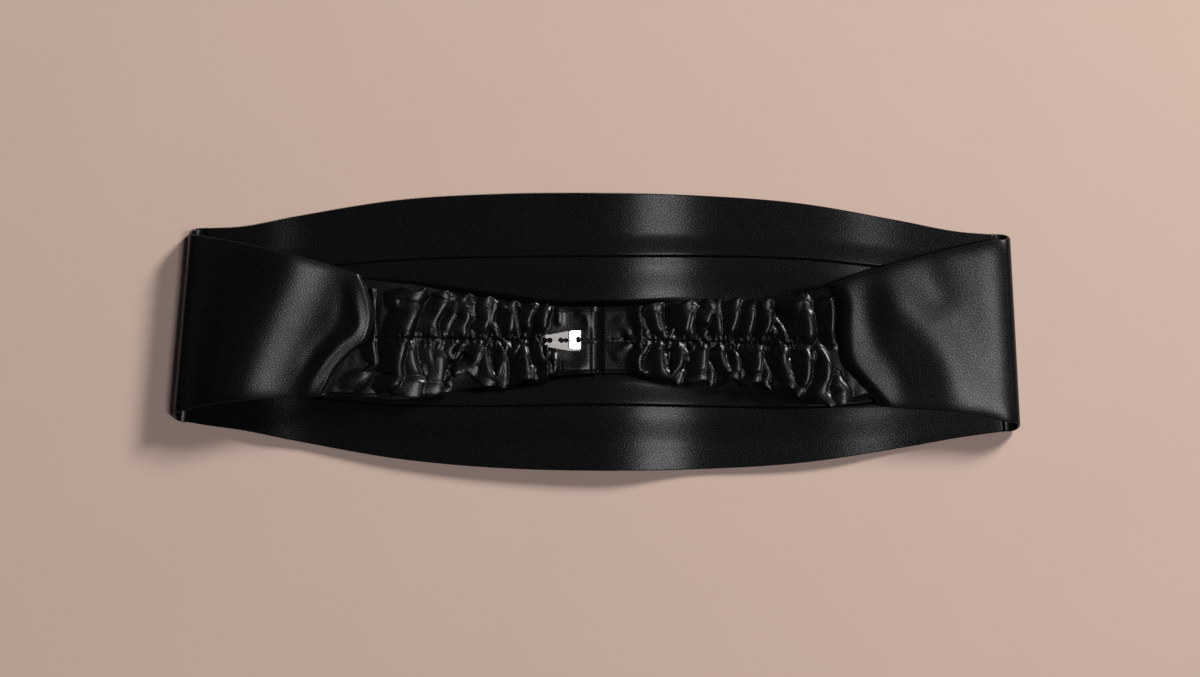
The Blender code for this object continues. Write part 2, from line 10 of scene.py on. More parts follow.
import bmesh
import bpy
import numpy as np
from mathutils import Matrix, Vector

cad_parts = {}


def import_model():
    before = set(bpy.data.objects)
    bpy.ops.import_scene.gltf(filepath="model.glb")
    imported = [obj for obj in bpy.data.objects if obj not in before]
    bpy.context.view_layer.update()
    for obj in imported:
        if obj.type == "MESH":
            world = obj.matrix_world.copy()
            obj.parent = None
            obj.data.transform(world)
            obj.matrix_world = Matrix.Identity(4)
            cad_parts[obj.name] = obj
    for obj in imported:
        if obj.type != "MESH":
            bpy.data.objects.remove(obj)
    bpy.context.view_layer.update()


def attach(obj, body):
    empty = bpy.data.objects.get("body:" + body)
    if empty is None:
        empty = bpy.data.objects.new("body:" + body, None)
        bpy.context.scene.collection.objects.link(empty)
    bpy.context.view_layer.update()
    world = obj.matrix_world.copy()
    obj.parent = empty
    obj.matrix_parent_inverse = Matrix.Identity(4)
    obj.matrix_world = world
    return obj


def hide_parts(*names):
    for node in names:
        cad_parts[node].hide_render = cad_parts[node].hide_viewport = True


MM = 0.001

# Cloth
SEAM_GAP = 0.3 * MM
SATIN = 0.7 * MM  # thickness of a folded layer of satin
WING_SATIN = 1.3 * MM
GATHER_SATIN = 0.8 * MM
RIM_STEPS = 4  # round each rim
BORDER_SHARE = 0.12  # of a cell, from a border to the row that is added beside it

# The front
FRONT_LENGTH = 386 * MM
FRONT_HEIGHT = 134 * MM
BACKING_WALL = 1.2 * MM
BACKING_CLOTH = BACKING_WALL - 0.1 * MM
PLEAT_WALL = 1.0 * MM
PLEAT_TUCK = 6.0 * MM
PLEAT_LEVEL = 3.0 * MM
PLEAT_SLOPE = 16.0 * MM
CHANNEL_MARGIN = 0.2 * MM
CHANNEL_WIDTH = 1.3 * MM
CHANNEL_LIP = 1.5 * MM
CHANNEL_FADE = 12 * MM
FRONT_STEP = 1.6 * MM
PLEAT_STEP = 0.5 * MM
PLEAT_CLOTH = {"upper": 0.5, "middle": 0.8, "lower": 1.1}  # sets the pleats' figures apart, in metres
SWELL_SAMPLES = 800
SWELL_CLEAR = 4 * MM  # the swell has its full height this far from the strap

# The wings and their folds
WING_LENGTH = 90 * MM
WING_HEIGHT = 92 * MM
WING_WALL = 2.0 * MM
FOLD_LEFT_MM = (-206.3, -198.6)
FOLD_RIGHT_MM = (206.3, 201.4)
FOLD_DEPTH = 6.0 * MM
SEAM_INSET = 8.0 * MM
WING_FOLD_HEIGHT = 14.5 * MM
WING_END_HEIGHT = 14.2 * MM
WING_EDGE_DROP = 0.5 * MM
EDGE_POWER = 16  # higher keeps the middle flatter
RIDGE_TAPER = 0.3  # share of a ridge's length over which each end fades
RIDGES_START = 0.2  # share of the wing's length over which its ridges fade in from the fold
CORNER_DROP = 0.3 * MM
CORNER_POWER = 14
CORNER_REACH = 0.5
WING_STEP = 0.9 * MM
WING_END_SAMPLES = 60
FOLD_ROLL_REACH = 12.0 * MM
FOLD_SQUARE = 0.65  # 1 is a round fold, and less is a squarer one
FOLD_ROWS = 41
SEAM_LIFT = 0.85 * MM
SEAM_ROWS = 9

# The strap
HALF_STRAP = 24 * MM
END_HEIGHT = 33 * MM
STRAP_WALL = 2.0 * MM
STRAP_FAR = 122 * MM
WING_LAP = 6.0 * MM
GATHER_FADE = 4.0 * MM
GATHER_STEP = 0.36 * MM
LEFT_END_X = (-24.0 * MM, -0.5 * MM)
RIGHT_END_X = (-7.5 * MM, 22.0 * MM)
RIGHT_END_UNDERSIDE = 2.8 * MM
LEFT_END_UNDERSIDE = 4.7 * MM
END_STEP = 0.5 * MM

Outline = namedtuple("Outline", "x_mm top_mm bottom_mm")
FRONT = [
    Outline(-206, 48.2, -42.0),
    Outline(-194, 49.8, -44.4),
    Outline(-174, 50.8, -47.3),
    Outline(-145, 56.2, -53.0),
    Outline(-96, 63.9, -61.5),
    Outline(-47, 66.8, -65.9),
    Outline(2, 67.2, -67.2),
    Outline(50, 66.0, -66.4),
    Outline(99, 62.2, -63.4),
    Outline(148, 53.7, -56.1),
    Outline(177, 48.3, -51.0),
    Outline(194, 47.0, -48.6),
    Outline(206, 46.6, -47.0),
]
WING_LEFT = [
    Outline(-206, 47.4, -40.4),
    Outline(-196, 46.8, -36.6),
    Outline(-184, 44.8, -34.0),
    Outline(-169, 42.0, -32.4),
    Outline(-154, 38.4, -31.6),
    Outline(-139, 34.6, -31.0),
    Outline(-124, 30.4, -29.4),
    Outline(-110, 25.2, -28.0),
]
WING_RIGHT = [
    Outline(112, 21.6, -34.0),
    Outline(124, 26.2, -35.0),
    Outline(138, 30.6, -35.8),
    Outline(150, 33.8, -36.8),
    Outline(163, 37.2, -37.6),
    Outline(176, 40.4, -38.8),
    Outline(189, 43.2, -40.8),
    Outline(199, 45.0, -43.2),
    Outline(206, 46.4, -45.4),
]
PleatFolds = namedtuple("PleatFolds", "x_mm upper lower")
PLEAT_FOLDS = [
    PleatFolds(-200, 0.755, 0.205),
    PleatFolds(-121, 0.761, 0.195),
    PleatFolds(0, 0.768, 0.231),
    PleatFolds(135, 0.782, 0.202),
    PleatFolds(200, 0.775, 0.215),
]
WingEnd = namedtuple("WingEnd", "share x_mm")
WING_END_LEFT = [
    WingEnd(0.00, -134.0),
    WingEnd(0.09, -130.5),
    WingEnd(0.18, -127.5),
    WingEnd(0.34, -119.0),
    WingEnd(0.45, -112.0),
    WingEnd(0.55, -109.8),
    WingEnd(0.85, -110.8),
    WingEnd(1.00, -115.0),
]
WING_END_RIGHT = [
    WingEnd(0.00, 138.0),
    WingEnd(0.12, 131.0),
    WingEnd(0.32, 120.0),
    WingEnd(0.55, 117.6),
    WingEnd(0.85, 117.0),
    WingEnd(1.00, 113.0),
]
Strap = namedtuple("Strap", "x_mm top_mm bottom_mm stitch_mm under_mm")
STRAP = [
    Strap(-142, 24.6, -27.0, -2.0, 8.6),
    Strap(-128, 24.2, -26.6, -2.4, 8.6),
    Strap(-110, 23.2, -27.8, -3.0, 8.2),
    Strap(-84, 20.6, -28.4, -3.4, 6.0),
    Strap(-62, 17.4, -26.8, -4.0, 3.9),
    Strap(-42, 14.4, -24.8, -4.4, 3.7),
    Strap(-24, 12.2, -21.6, -4.4, 4.7),
    Strap(0, 11.8, -19.8, -4.4, 4.7),
    Strap(22, 12.4, -20.6, -4.6, 2.8),
    Strap(42, 13.8, -24.0, -5.0, 2.9),
    Strap(62, 15.0, -25.8, -5.6, 3.6),
    Strap(84, 16.4, -28.6, -6.4, 5.8),
    Strap(104, 18.8, -32.6, -6.8, 7.8),
    Strap(120, 19.6, -33.2, -7.2, 8.6),
    Strap(144, 20.0, -33.4, -7.4, 8.6),
]

# Folds of the cloth, each along a path
Fold = namedtuple("Fold", "height_mm width_mm path_mm")
PATH_STEPS = 6  # of the smooth line between two points

# Soft ridges and troughs across the wings
RIDGES_LEFT = [
    Fold(3.9, 20, [(-134, 74), (-149, 42), (-155, 26), (-164, 6), (-172, -14), (-178, -34), (-186, -66)]),
    Fold(-0.25, 4, [(-120, 27), (-122, 17), (-126, 2), (-137, -11), (-145, -28)]),
    Fold(0.8, 3.4, [(-120, 30), (-117.5, 16), (-116.5, 2), (-128, -10), (-137, -22), (-142, -34)]),
    Fold(0.5, 3.4, [(-118, 4), (-129, -9), (-138, -22), (-144, -36)]),
]
RIDGES_RIGHT = [
    Fold(0.2, 5, [(119, 36), (121.5, 12), (122, -8), (131, -24), (144, -42)]),
    Fold(-0.42, 7, [(131, 44), (132.5, 22), (133, 6), (136, -8), (146, -24), (153, -50)]),
    Fold(1.0, 12, [(126, 36), (144, 15), (161, -2), (171, -20), (177, -54)]),
    Fold(-0.4, 9, [(155, 44), (162, 24), (170, 6)]),
]
Wing = namedtuple("Wing", "node side outline ridges end roll_mm sag_mm sag_reach fold_roll_mm")
LEFT = Wing("wing_left", -1, WING_LEFT, RIDGES_LEFT, WING_END_LEFT, 1.2, 0.9, 0.5, 0.0)
RIGHT = Wing("wing_right", 1, WING_RIGHT, RIDGES_RIGHT, WING_END_RIGHT, 6.5, 2.0, 1.0, 0.6)

# Where the front slopes gently to the right, which gives its upright bands of sheen
Slope = namedtuple("Slope", "x_mm tilt width_mm")
SLOPES = [
    Slope(-152, 0.11, 11),
    Slope(31, 0.15, 19),
    Slope(132, 0.075, 18),
]

# Folds of the gathered cloth
FOLDS_LEFT = [
    Fold(2.0, 0.9, [
        (-109.3, 21.5), (-108.8, 10.7), (-108.3, -5.4), (-107.3, -15.1), (-110.2, -18.0), (-114.1, -20.0),
    ]),
    Fold(2.0, 5.0, [(-111.0, -21.0), (-108.0, -25.0), (-106.0, -31.0)]),
    Fold(1.8, 1.0, [
        (-90.2, 19.0), (-93.2, 20.5), (-95.6, 17.6), (-96.1, 13.7), (-94.6, 11.7), (-93.2, 14.6),
        (-90.7, 17.6),
    ]),
    Fold(4.6, 1.5, [
        (-83.9, 20.5), (-85.9, 15.6), (-87.8, 9.3), (-90.2, 3.4), (-92.7, -3.9), (-94.6, -10.7),
        (-95.6, -16.6), (-95.1, -21.0), (-96.6, -23.9),
    ]),
    Fold(2.2, 1.0, [(-83.9, 20.5), (-82.0, 18.5)]),
    Fold(3.2, 1.3, [
        (-72.7, 20.0), (-72.2, 16.1), (-74.1, 12.7), (-76.6, 8.8), (-78.5, 4.9), (-78.0, 0.5),
        (-77.1, -3.4),
    ]),
    Fold(2.6, 1.1, [(-64.9, 16.1), (-67.3, 17.6), (-70.2, 16.1), (-72.7, 13.7)]),
    Fold(2.2, 1.2, [
        (-67.3, 16.6), (-67.3, 12.7), (-68.8, 8.8), (-71.2, 4.9), (-72.7, 0.5), (-73.7, -2.9),
    ]),
    Fold(2.8, 1.1, [
        (-63.9, 15.6), (-62.4, 18.0), (-60.0, 16.6), (-59.0, 14.1), (-60.0, 10.2), (-60.0, 7.3),
        (-62.0, 2.9),
    ]),
    Fold(3.6, 1.3, [
        (-60.0, 14.1), (-62.0, 11.2), (-62.4, 7.3), (-64.4, 2.4), (-63.9, -1.5), (-62.9, -4.4),
    ]),
    Fold(2.4, 1.0, [(-62.4, 2.4), (-61.0, -0.5), (-60.0, -3.9), (-62.0, -5.4)]),
    Fold(3.8, 1.3, [(-52.2, 16.6), (-52.7, 11.7), (-52.7, 6.8), (-54.1, 2.0), (-54.1, -2.9)]),
    Fold(3.2, 1.2, [
        (-53.2, 17.1), (-50.2, 15.6), (-49.3, 12.7), (-50.7, 8.8), (-51.2, 4.9), (-49.3, 1.5),
        (-47.8, -2.0), (-48.3, -4.9),
    ]),
    Fold(3.4, 1.2, [(-43.9, 12.2), (-41.5, 9.3), (-41.5, 5.4), (-42.0, 1.0), (-42.4, -3.4)]),
    Fold(3.2, 1.2, [
        (-38.0, 13.2), (-40.0, 14.6), (-40.5, 10.2), (-39.5, 5.4), (-38.5, 0.5), (-39.0, -2.9),
    ]),
    Fold(3.4, 1.2, [
        (-31.2, 14.1), (-29.8, 12.7), (-31.7, 9.8), (-33.2, 5.9), (-33.2, 2.4), (-34.6, -2.0),
    ]),
    Fold(3.2, 1.2, [(-22.4, 13.7), (-23.4, 10.7), (-24.9, 6.8), (-25.4, 2.9), (-27.3, -1.5)]),
    Fold(2.8, 1.2, [(-90.7, -3.4), (-89.3, -8.8), (-88.3, -14.6), (-86.8, -19.0), (-84.4, -22.9)]),
    Fold(2.0, 1.1, [(-84.4, -22.9), (-82.9, -20.0), (-83.9, -17.1), (-85.9, -14.6)]),
    Fold(3.4, 2.6, [(-84.4, -22.4), (-84.9, -26.3), (-85.4, -30.7)]),
    Fold(2.4, 1.1, [
        (-77.1, -3.4), (-79.5, -4.9), (-80.5, -8.8), (-80.0, -13.7), (-78.5, -18.5), (-78.5, -24.4),
        (-79.0, -28.8),
    ]),
    Fold(3.0, 2.4, [(-75.1, -6.3), (-74.6, -12.7), (-75.1, -19.5), (-76.1, -29.3)]),
    Fold(3.2, 1.2, [(-71.7, -20.5), (-70.2, -23.4), (-70.2, -26.8), (-71.7, -28.8)]),
    Fold(2.6, 1.2, [
        (-67.8, -2.9), (-68.3, -4.9), (-70.7, -8.3), (-70.7, -11.2), (-68.8, -12.7), (-66.8, -9.8),
        (-64.4, -5.4),
    ]),
    Fold(3.6, 2.2, [
        (-55.1, -5.4), (-56.6, -10.2), (-58.5, -14.6), (-61.5, -17.6), (-64.9, -19.5),
    ]),
    Fold(3.0, 3.0, [(-58.0, -14.6), (-58.0, -19.0), (-55.1, -22.4)]),
    Fold(3.8, 1.2, [
        (-54.1, -6.3), (-54.1, -12.7), (-52.7, -17.1), (-51.2, -20.5), (-49.3, -22.0), (-47.3, -20.5),
        (-46.3, -16.6), (-45.4, -12.2), (-44.9, -8.8),
    ]),
    Fold(3.6, 2.4, [(-50.2, -22.0), (-51.2, -26.3)]),
    Fold(3.0, 1.1, [(-43.9, -9.8), (-44.4, -14.6), (-44.4, -20.5), (-44.9, -26.8)]),
    Fold(2.6, 1.3, [(-39.0, -6.8), (-40.0, -11.7), (-41.5, -15.6)]),
    Fold(3.8, 1.4, [(-35.6, -6.3), (-34.6, -11.7), (-33.7, -16.6), (-32.7, -22.9)]),
    Fold(2.6, 1.1, [(-33.2, -14.6), (-31.2, -19.0), (-29.8, -22.4), (-30.7, -24.4)]),
    Fold(3.0, 1.1, [
        (-27.8, -5.4), (-27.3, -10.2), (-25.9, -13.2), (-24.4, -12.7), (-23.4, -8.8), (-23.4, -5.4),
    ]),
    Fold(3.2, 1.5, [
        (-23.9, -13.2), (-22.4, -16.6), (-21.5, -20.0), (-20.0, -16.6), (-21.0, -8.8),
    ]),
    Fold(2.2, 1.0, [(-58.0, -2.4), (-56.1, -5.9), (-53.7, -6.3), (-52.2, -3.4), (-52.7, -1.0)]),
    Fold(2.2, 1.0, [
        (-47.8, -4.4), (-47.3, -7.3), (-44.9, -9.3), (-43.9, -6.3), (-45.9, -3.4), (-45.9, -1.0),
    ]),
    Fold(2.0, 1.0, [(-42.9, -4.9), (-42.0, -8.3), (-40.0, -9.8), (-38.5, -6.3), (-39.0, -3.4)]),
    Fold(2.0, 1.0, [(-37.6, -2.4), (-35.6, -6.3), (-34.1, -2.9)]),
    Fold(2.0, 1.0, [(-29.8, -2.4), (-27.8, -5.9), (-26.3, -2.9)]),
]
FOLDS_RIGHT = [
    Fold(4.0, 2.0, [(117.5, 19), (118.5, 8), (119, -6)]),
    Fold(2.6, 1.2, [
        (23.4, 12.2), (21.5, 12.2), (21.0, 9.3), (22.0, 5.9), (23.4, 2.9), (24.9, 0.0), (25.9, -4.4),
    ]),
    Fold(2.0, 1.4, [(24.9, 10.2), (23.9, 7.3), (23.4, 3.4)]),
    Fold(3.6, 1.2, [(28.3, 14.1), (28.8, 11.2), (29.3, 7.3), (30.2, 2.9), (31.7, -2.4)]),
    Fold(3.0, 1.1, [
        (31.2, 14.1), (30.7, 9.3), (31.2, 4.9), (32.7, 0.0), (33.2, -3.9), (32.7, -6.3),
    ]),
    Fold(1.8, 1.0, [(35.1, 13.7), (36.6, 12.2), (39.5, 12.2)]),
    Fold(2.4, 1.0, [(37.1, 4.4), (37.1, 0.5), (36.1, -2.0), (37.6, -3.4), (38.0, -1.0)]),
    Fold(4.0, 1.4, [(45.4, 14.6), (45.4, 9.8), (44.4, 4.9), (43.4, 0.5), (42.0, -3.9)]),
    Fold(2.4, 1.1, [(49.8, 13.2), (47.8, 14.6), (45.4, 15.1)]),
    Fold(3.0, 1.1, [(47.8, 12.7), (46.8, 7.8), (45.9, 2.9), (46.3, -1.0), (45.4, -4.9)]),
    Fold(3.6, 1.2, [(56.6, 13.7), (56.1, 10.7), (54.6, 7.8), (53.7, 4.4), (53.2, 1.5)]),
    Fold(3.4, 1.2, [
        (54.1, 16.1), (56.6, 13.2), (56.6, 10.2), (58.5, 8.3), (59.5, 5.4), (60.0, 0.5), (60.0, -4.9),
    ]),
    Fold(3.0, 1.2, [(60.0, 15.6), (59.5, 11.2), (60.0, 6.8), (61.0, 3.4)]),
    Fold(2.2, 1.0, [(55.1, 2.4), (53.2, 0.0), (52.7, -2.4), (54.1, -4.4), (54.6, -1.0)]),
    Fold(4.0, 1.3, [
        (68.8, 16.1), (68.3, 12.2), (67.8, 7.8), (66.3, 2.4), (64.9, -1.5), (64.4, -4.9),
    ]),
    Fold(3.0, 1.1, [(68.8, 15.6), (71.2, 13.7), (72.7, 10.7), (74.6, 6.8)]),
    Fold(3.6, 1.2, [
        (78.0, 15.6), (76.1, 11.7), (75.6, 6.8), (74.6, 2.9), (73.7, -1.5), (73.2, -5.4),
    ]),
    Fold(2.4, 1.3, [(79.0, 14.6), (81.0, 10.2), (82.0, 5.9)]),
    Fold(4.0, 1.4, [
        (83.4, 15.6), (83.4, 10.7), (83.9, 5.9), (82.9, 2.0), (81.5, -1.5), (81.0, -5.9),
    ]),
    Fold(3.0, 2.4, [(82.9, -2.9), (83.4, 0.0), (85.9, 0.5), (87.3, -2.4)]),
    Fold(2.6, 1.1, [(87.3, 5.4), (89.8, 1.5), (91.2, -1.0), (92.2, -4.4), (91.2, -6.8)]),
    Fold(2.0, 1.0, [(89.8, 1.0), (89.3, -2.4), (89.8, -5.4)]),
    Fold(4.2, 2.4, [
        (102.0, 14.1), (102.4, 10.2), (103.4, 5.9), (103.9, 1.0), (103.9, -2.9), (103.4, -6.8),
    ]),
    Fold(2.8, 1.3, [(101.0, 6.8), (99.0, 5.4), (97.6, 2.0), (97.6, -2.0), (96.1, -6.8)]),
    Fold(2.6, 1.2, [(99.0, 15.6), (99.5, 19.0), (102.0, 18.5), (103.9, 15.1)]),
    Fold(2.8, 1.2, [(22.4, -1.5), (22.0, -5.4), (21.0, -8.3), (19.0, -9.8)]),
    Fold(3.2, 1.2, [
        (23.4, -2.9), (24.9, -5.9), (23.4, -9.3), (21.5, -12.2), (21.0, -15.6), (22.0, -19.0),
        (24.4, -19.0), (25.9, -16.1),
    ]),
    Fold(2.0, 1.0, [(26.3, -3.9), (27.8, -1.5), (28.8, -3.9), (27.3, -5.9), (26.3, -3.9)]),
    Fold(4.2, 1.4, [
        (31.7, -4.4), (31.2, -9.3), (31.2, -14.1), (32.7, -18.5), (35.6, -21.0), (38.5, -19.0),
        (41.0, -14.6), (41.0, -8.8), (39.5, -3.9),
    ]),
    Fold(2.2, 1.0, [(32.7, -7.8), (34.1, -8.8), (35.6, -5.4), (34.6, -2.0)]),
    Fold(2.2, 1.1, [(32.7, -9.8), (33.7, -13.7), (35.1, -17.6)]),
    Fold(3.2, 1.1, [(41.5, -17.1), (41.0, -21.5), (39.5, -25.9)]),
    Fold(2.4, 1.0, [(42.0, -6.3), (42.9, -9.3), (44.9, -10.7), (46.8, -8.3), (46.8, -4.4)]),
    Fold(2.4, 1.2, [(44.9, -10.7), (44.4, -15.6)]),
    Fold(3.6, 2.0, [(50.2, -3.4), (52.2, -8.8), (52.2, -13.7), (52.2, -18.5), (52.2, -23.4)]),
    Fold(3.0, 1.1, [(53.2, -12.2), (54.6, -16.1), (56.1, -20.0), (55.6, -26.3)]),
    Fold(2.2, 1.0, [(55.6, -3.9), (56.1, -6.8), (57.6, -4.4)]),
    Fold(3.8, 1.5, [
        (58.0, -4.4), (60.0, -7.3), (61.0, -12.2), (62.9, -16.6), (65.4, -19.5), (67.3, -22.4),
    ]),
    Fold(3.4, 1.3, [(65.9, -8.3), (67.8, -12.2), (68.8, -16.1), (67.8, -20.5), (67.3, -22.4)]),
    Fold(2.4, 1.3, [(62.4, -10.7), (64.4, -14.6), (65.9, -18.5)]),
    Fold(2.8, 1.1, [(69.8, -15.1), (70.7, -20.5), (70.7, -26.8)]),
    Fold(2.8, 1.1, [(73.2, -5.4), (72.7, -9.8), (71.2, -14.6)]),
    Fold(4.0, 2.0, [(79.0, -4.9), (79.0, -9.8), (79.0, -15.6), (78.0, -23.9)]),
    Fold(3.0, 1.1, [(80.0, -9.8), (81.0, -15.1), (83.4, -20.5), (82.4, -24.9), (83.9, -28.8)]),
    Fold(2.8, 1.3, [(83.4, -28.8), (86.3, -28.8), (88.8, -25.4), (92.2, -25.9)]),
    Fold(4.0, 1.7, [
        (90.2, -5.4), (91.2, -8.8), (91.2, -14.1), (92.7, -19.0), (95.1, -22.9), (95.6, -26.3),
    ]),
    Fold(2.4, 1.2, [(92.2, -11.2), (93.7, -15.6), (96.6, -21.5)]),
    Fold(2.8, 1.1, [(97.6, -12.2), (100.0, -15.1), (100.5, -19.5), (99.0, -23.4)]),
    Fold(4.2, 1.5, [
        (100.5, -6.8), (102.4, -11.2), (102.9, -16.6), (102.4, -22.0), (101.0, -25.4), (99.0, -28.8),
        (97.1, -31.7),
    ]),
    Fold(2.8, 1.2, [(104.4, -17.6), (103.4, -22.9), (102.9, -28.3)]),
    Fold(2.4, 1.1, [(104.9, -7.8), (105.4, -12.2), (103.9, -15.6)]),
    Fold(4.0, 1.6, [
        (108.8, -8.3), (111.2, -12.7), (112.7, -17.6), (112.2, -22.4), (110.7, -26.3), (110.7, -29.8),
        (114.1, -35.1),
    ]),
    Fold(2.6, 2.6, [(115.1, -28.3), (117.6, -32.2), (114.6, -35.6)]),
    Fold(3.4, 2.4, [(117.6, -20.5), (118.0, -24.4), (120.5, -28.3), (121.5, -34.1)]),
    Fold(2.2, 1.0, [(49.8, -2.4), (51.2, -6.3), (54.1, -8.3), (55.6, -5.4)]),
    Fold(2.0, 1.0, [(64.9, -2.4), (66.3, -6.3), (68.3, -7.3), (69.8, -3.4), (71.2, -7.3)]),
    Fold(2.0, 1.0, [(75.1, -6.3), (76.6, -2.0), (78.0, -5.4)]),
    Fold(2.0, 1.0, [(93.7, -7.3), (94.1, -3.9), (95.6, -7.3), (97.1, -3.9)]),
    Fold(2.0, 1.0, [(98.0, -9.8), (99.0, -5.9), (101.5, -4.9)]),
]
# The strap's own broad swell beside the left wing
SWELLS = [Fold(1.2, 10, [(-96, 70), (-96, 0), (-96, -70)])]
# Outlines of the gathered cloth
RIM_SAMPLES = 1200
RIM_BLUR = 15  # samples
RIM_LEFT_TOP = [
    (-125.4, 23.4), (-115.6, 22.4), (-109.8, 21.0), (-103.4, 20.0), (-97.1, 20.5), (-93.2, 21.2),
    (-89.3, 19.5), (-86.3, 19.3), (-83.9, 21.0), (-81.0, 18.8), (-76.6, 19.0), (-72.7, 20.0),
    (-68.8, 17.3), (-65.4, 17.8), (-62.0, 18.5), (-58.5, 16.1), (-55.1, 16.3), (-52.2, 17.1),
    (-48.3, 14.6), (-43.9, 14.1), (-40.0, 15.1), (-37.1, 13.4), (-33.7, 13.4), (-30.2, 14.1),
    (-26.8, 12.9), (-22.9, 13.7), (-20.0, 11.7),
]
RIM_LEFT_BOTTOM = [
    (-125.4, -30.7), (-113.7, -31.2), (-102.0, -31.0), (-95.1, -30.7), (-90.2, -31.2), (-84.4, -31.5),
    (-79.5, -30.2), (-73.7, -29.3), (-71.2, -28.5), (-69.8, -23.4), (-67.8, -20.5), (-64.4, -19.3),
    (-61.5, -21.0), (-59.0, -23.9), (-54.6, -26.1), (-49.8, -25.9), (-44.9, -27.1), (-40.0, -26.6),
    (-37.6, -23.9), (-35.1, -22.4), (-31.7, -22.7), (-29.8, -24.6), (-25.4, -24.4), (-22.0, -23.2),
    (-20.0, -20.5),
]
RIM_RIGHT_TOP = [
    (21.0, 12.4), (24.9, 13.2), (28.8, 14.1), (32.7, 13.9), (36.6, 13.2), (41.0, 13.2), (45.4, 15.1),
    (49.8, 13.4), (54.1, 15.9), (56.6, 14.1), (59.5, 15.6), (63.9, 14.1), (68.8, 16.1), (72.7, 14.1),
    (78.0, 15.9), (81.0, 14.6), (83.4, 15.6), (88.3, 14.4), (93.2, 15.4), (97.1, 16.1), (99.5, 19.0),
    (102.0, 18.5), (104.4, 15.1), (109.8, 15.6), (118.5, 17.1), (128.3, 18.5),
]
RIM_RIGHT_BOTTOM = [
    (21.0, -19.3), (23.9, -22.4), (28.3, -23.2), (34.1, -22.9), (37.6, -23.7), (39.5, -25.9),
    (44.4, -26.3), (47.3, -24.4), (50.2, -22.9), (53.2, -23.4), (54.6, -25.9), (57.1, -26.6),
    (61.0, -25.9), (63.4, -23.9), (65.4, -22.2), (67.8, -22.7), (69.3, -25.4), (71.2, -27.3),
    (74.1, -26.3), (76.1, -24.1), (79.5, -23.9), (82.0, -25.9), (84.4, -28.5), (87.3, -28.8),
    (89.8, -26.6), (93.2, -26.3), (95.6, -28.8), (97.6, -31.7), (100.5, -33.4), (104.9, -33.7),
    (109.8, -34.1), (114.1, -36.6), (119.5, -35.1), (124.4, -33.2), (130.2, -31.2),
]
# Outline of the strap's back layer, which shows beyond the gathered one
Back = namedtuple("Back", "x_mm top_mm bottom_mm")
BACK_LEFT = [
    Back(-127, 26.0, -31.6),
    Back(-110, 24.9, -32.4),
    Back(-96, 23.4, -32.7),
    Back(-83, 21.7, -31.6),
    Back(-74, 19.8, -30.2),
    Back(-65, 17.8, -27.6),
    Back(-52, 16.1, -26.3),
    Back(-38, 13.7, -24.0),
    Back(-20, 11.7, -19.5),
]
BACK_RIGHT = [
    Back(20, 11.7, -19.0),
    Back(31, 13.2, -22.4),
    Back(45, 13.7, -25.4),
    Back(60, 13.9, -25.6),
    Back(72, 14.4, -26.4),
    Back(80, 16.3, -27.8),
    Back(97, 18.0, -31.4),
    Back(104, 19.8, -33.2),
    Back(113, 21.7, -34.6),
    Back(123, 23.4, -34.8),
    Back(134, 25.4, -33.0),
]
BACK_FAR = 120 * MM
BACK_COLUMNS = 90
BACK_ROWS = 40
BACK_WALL = 0.7 * MM
BACK_DROOP = 1.6 * MM
BACK_DROOP_FROM = 3.4 * MM
BACK_DROOP_START = 0.5  # share of the way out from which it droops
STITCH_GROOVE = 0.5 * MM
STITCH_GROOVE_WIDTH = 1.2 * MM

# How a fold of the gathered cloth is shaped
CREST_SHIFT = 0.6
CREST_FLARE = 1.2
STEEP_SLOPE = 2.0
LONG_SLOPE = 0.24
FOLD_BLEND = 0.1 * MM
FOLD_HEIGHT = 0.65
FOLD_TAPER = 0.3
FOLD_END = 0.5
FOLD_LEAN = 0.15
HELD_FROM = 0.55  # share of the way out from which the cloth's edge holds its folds up
HELD_OVER = 0.35
EDGE_ROLL_SPREAD = 1.4
EDGE_ROLL_LIFT = 2.5 * MM  # a fold this high takes the roll of the edge away
Waves = namedtuple("Waves", "seed count x_mm y_mm")
GATHER_WAVES = Waves(3, 7, (6.0, 13.0), (16.0, 40.0))
GATHER_WAVE_HEIGHT = 0.045 * MM
GatherHalf = namedtuple("GatherHalf", "node wing folds top bottom back")
GATHER_HALVES = (
    GatherHalf("gathers_left", LEFT, FOLDS_LEFT, RIM_LEFT_TOP, RIM_LEFT_BOTTOM, BACK_LEFT),
    GatherHalf("gathers_right", RIGHT, FOLDS_RIGHT, RIM_RIGHT_TOP, RIM_RIGHT_BOTTOM, BACK_RIGHT),
)

# Small puckers at both sides of the centre stitching
PUCKER_PITCH_MM = 2.3
PUCKER_HEIGHT_MM = (0.2, 0.55)
PUCKER_REACH_MM = (1.5, 4.5)
PUCKER_WIDTH_MM = 0.5
PUCKER_FAR_MM = 96
PUCKER_SPACING = (0.7, 1.4)  # share of the pitch
PUCKER_SLANT = 0.35
PUCKER_SHIFT_MM = 0.5
PUCKER_FOOT_MM = 0.2  # from the stitching
PUCKER_SEEDS = {-1: 7, 1: 8}  # of the left and the right half

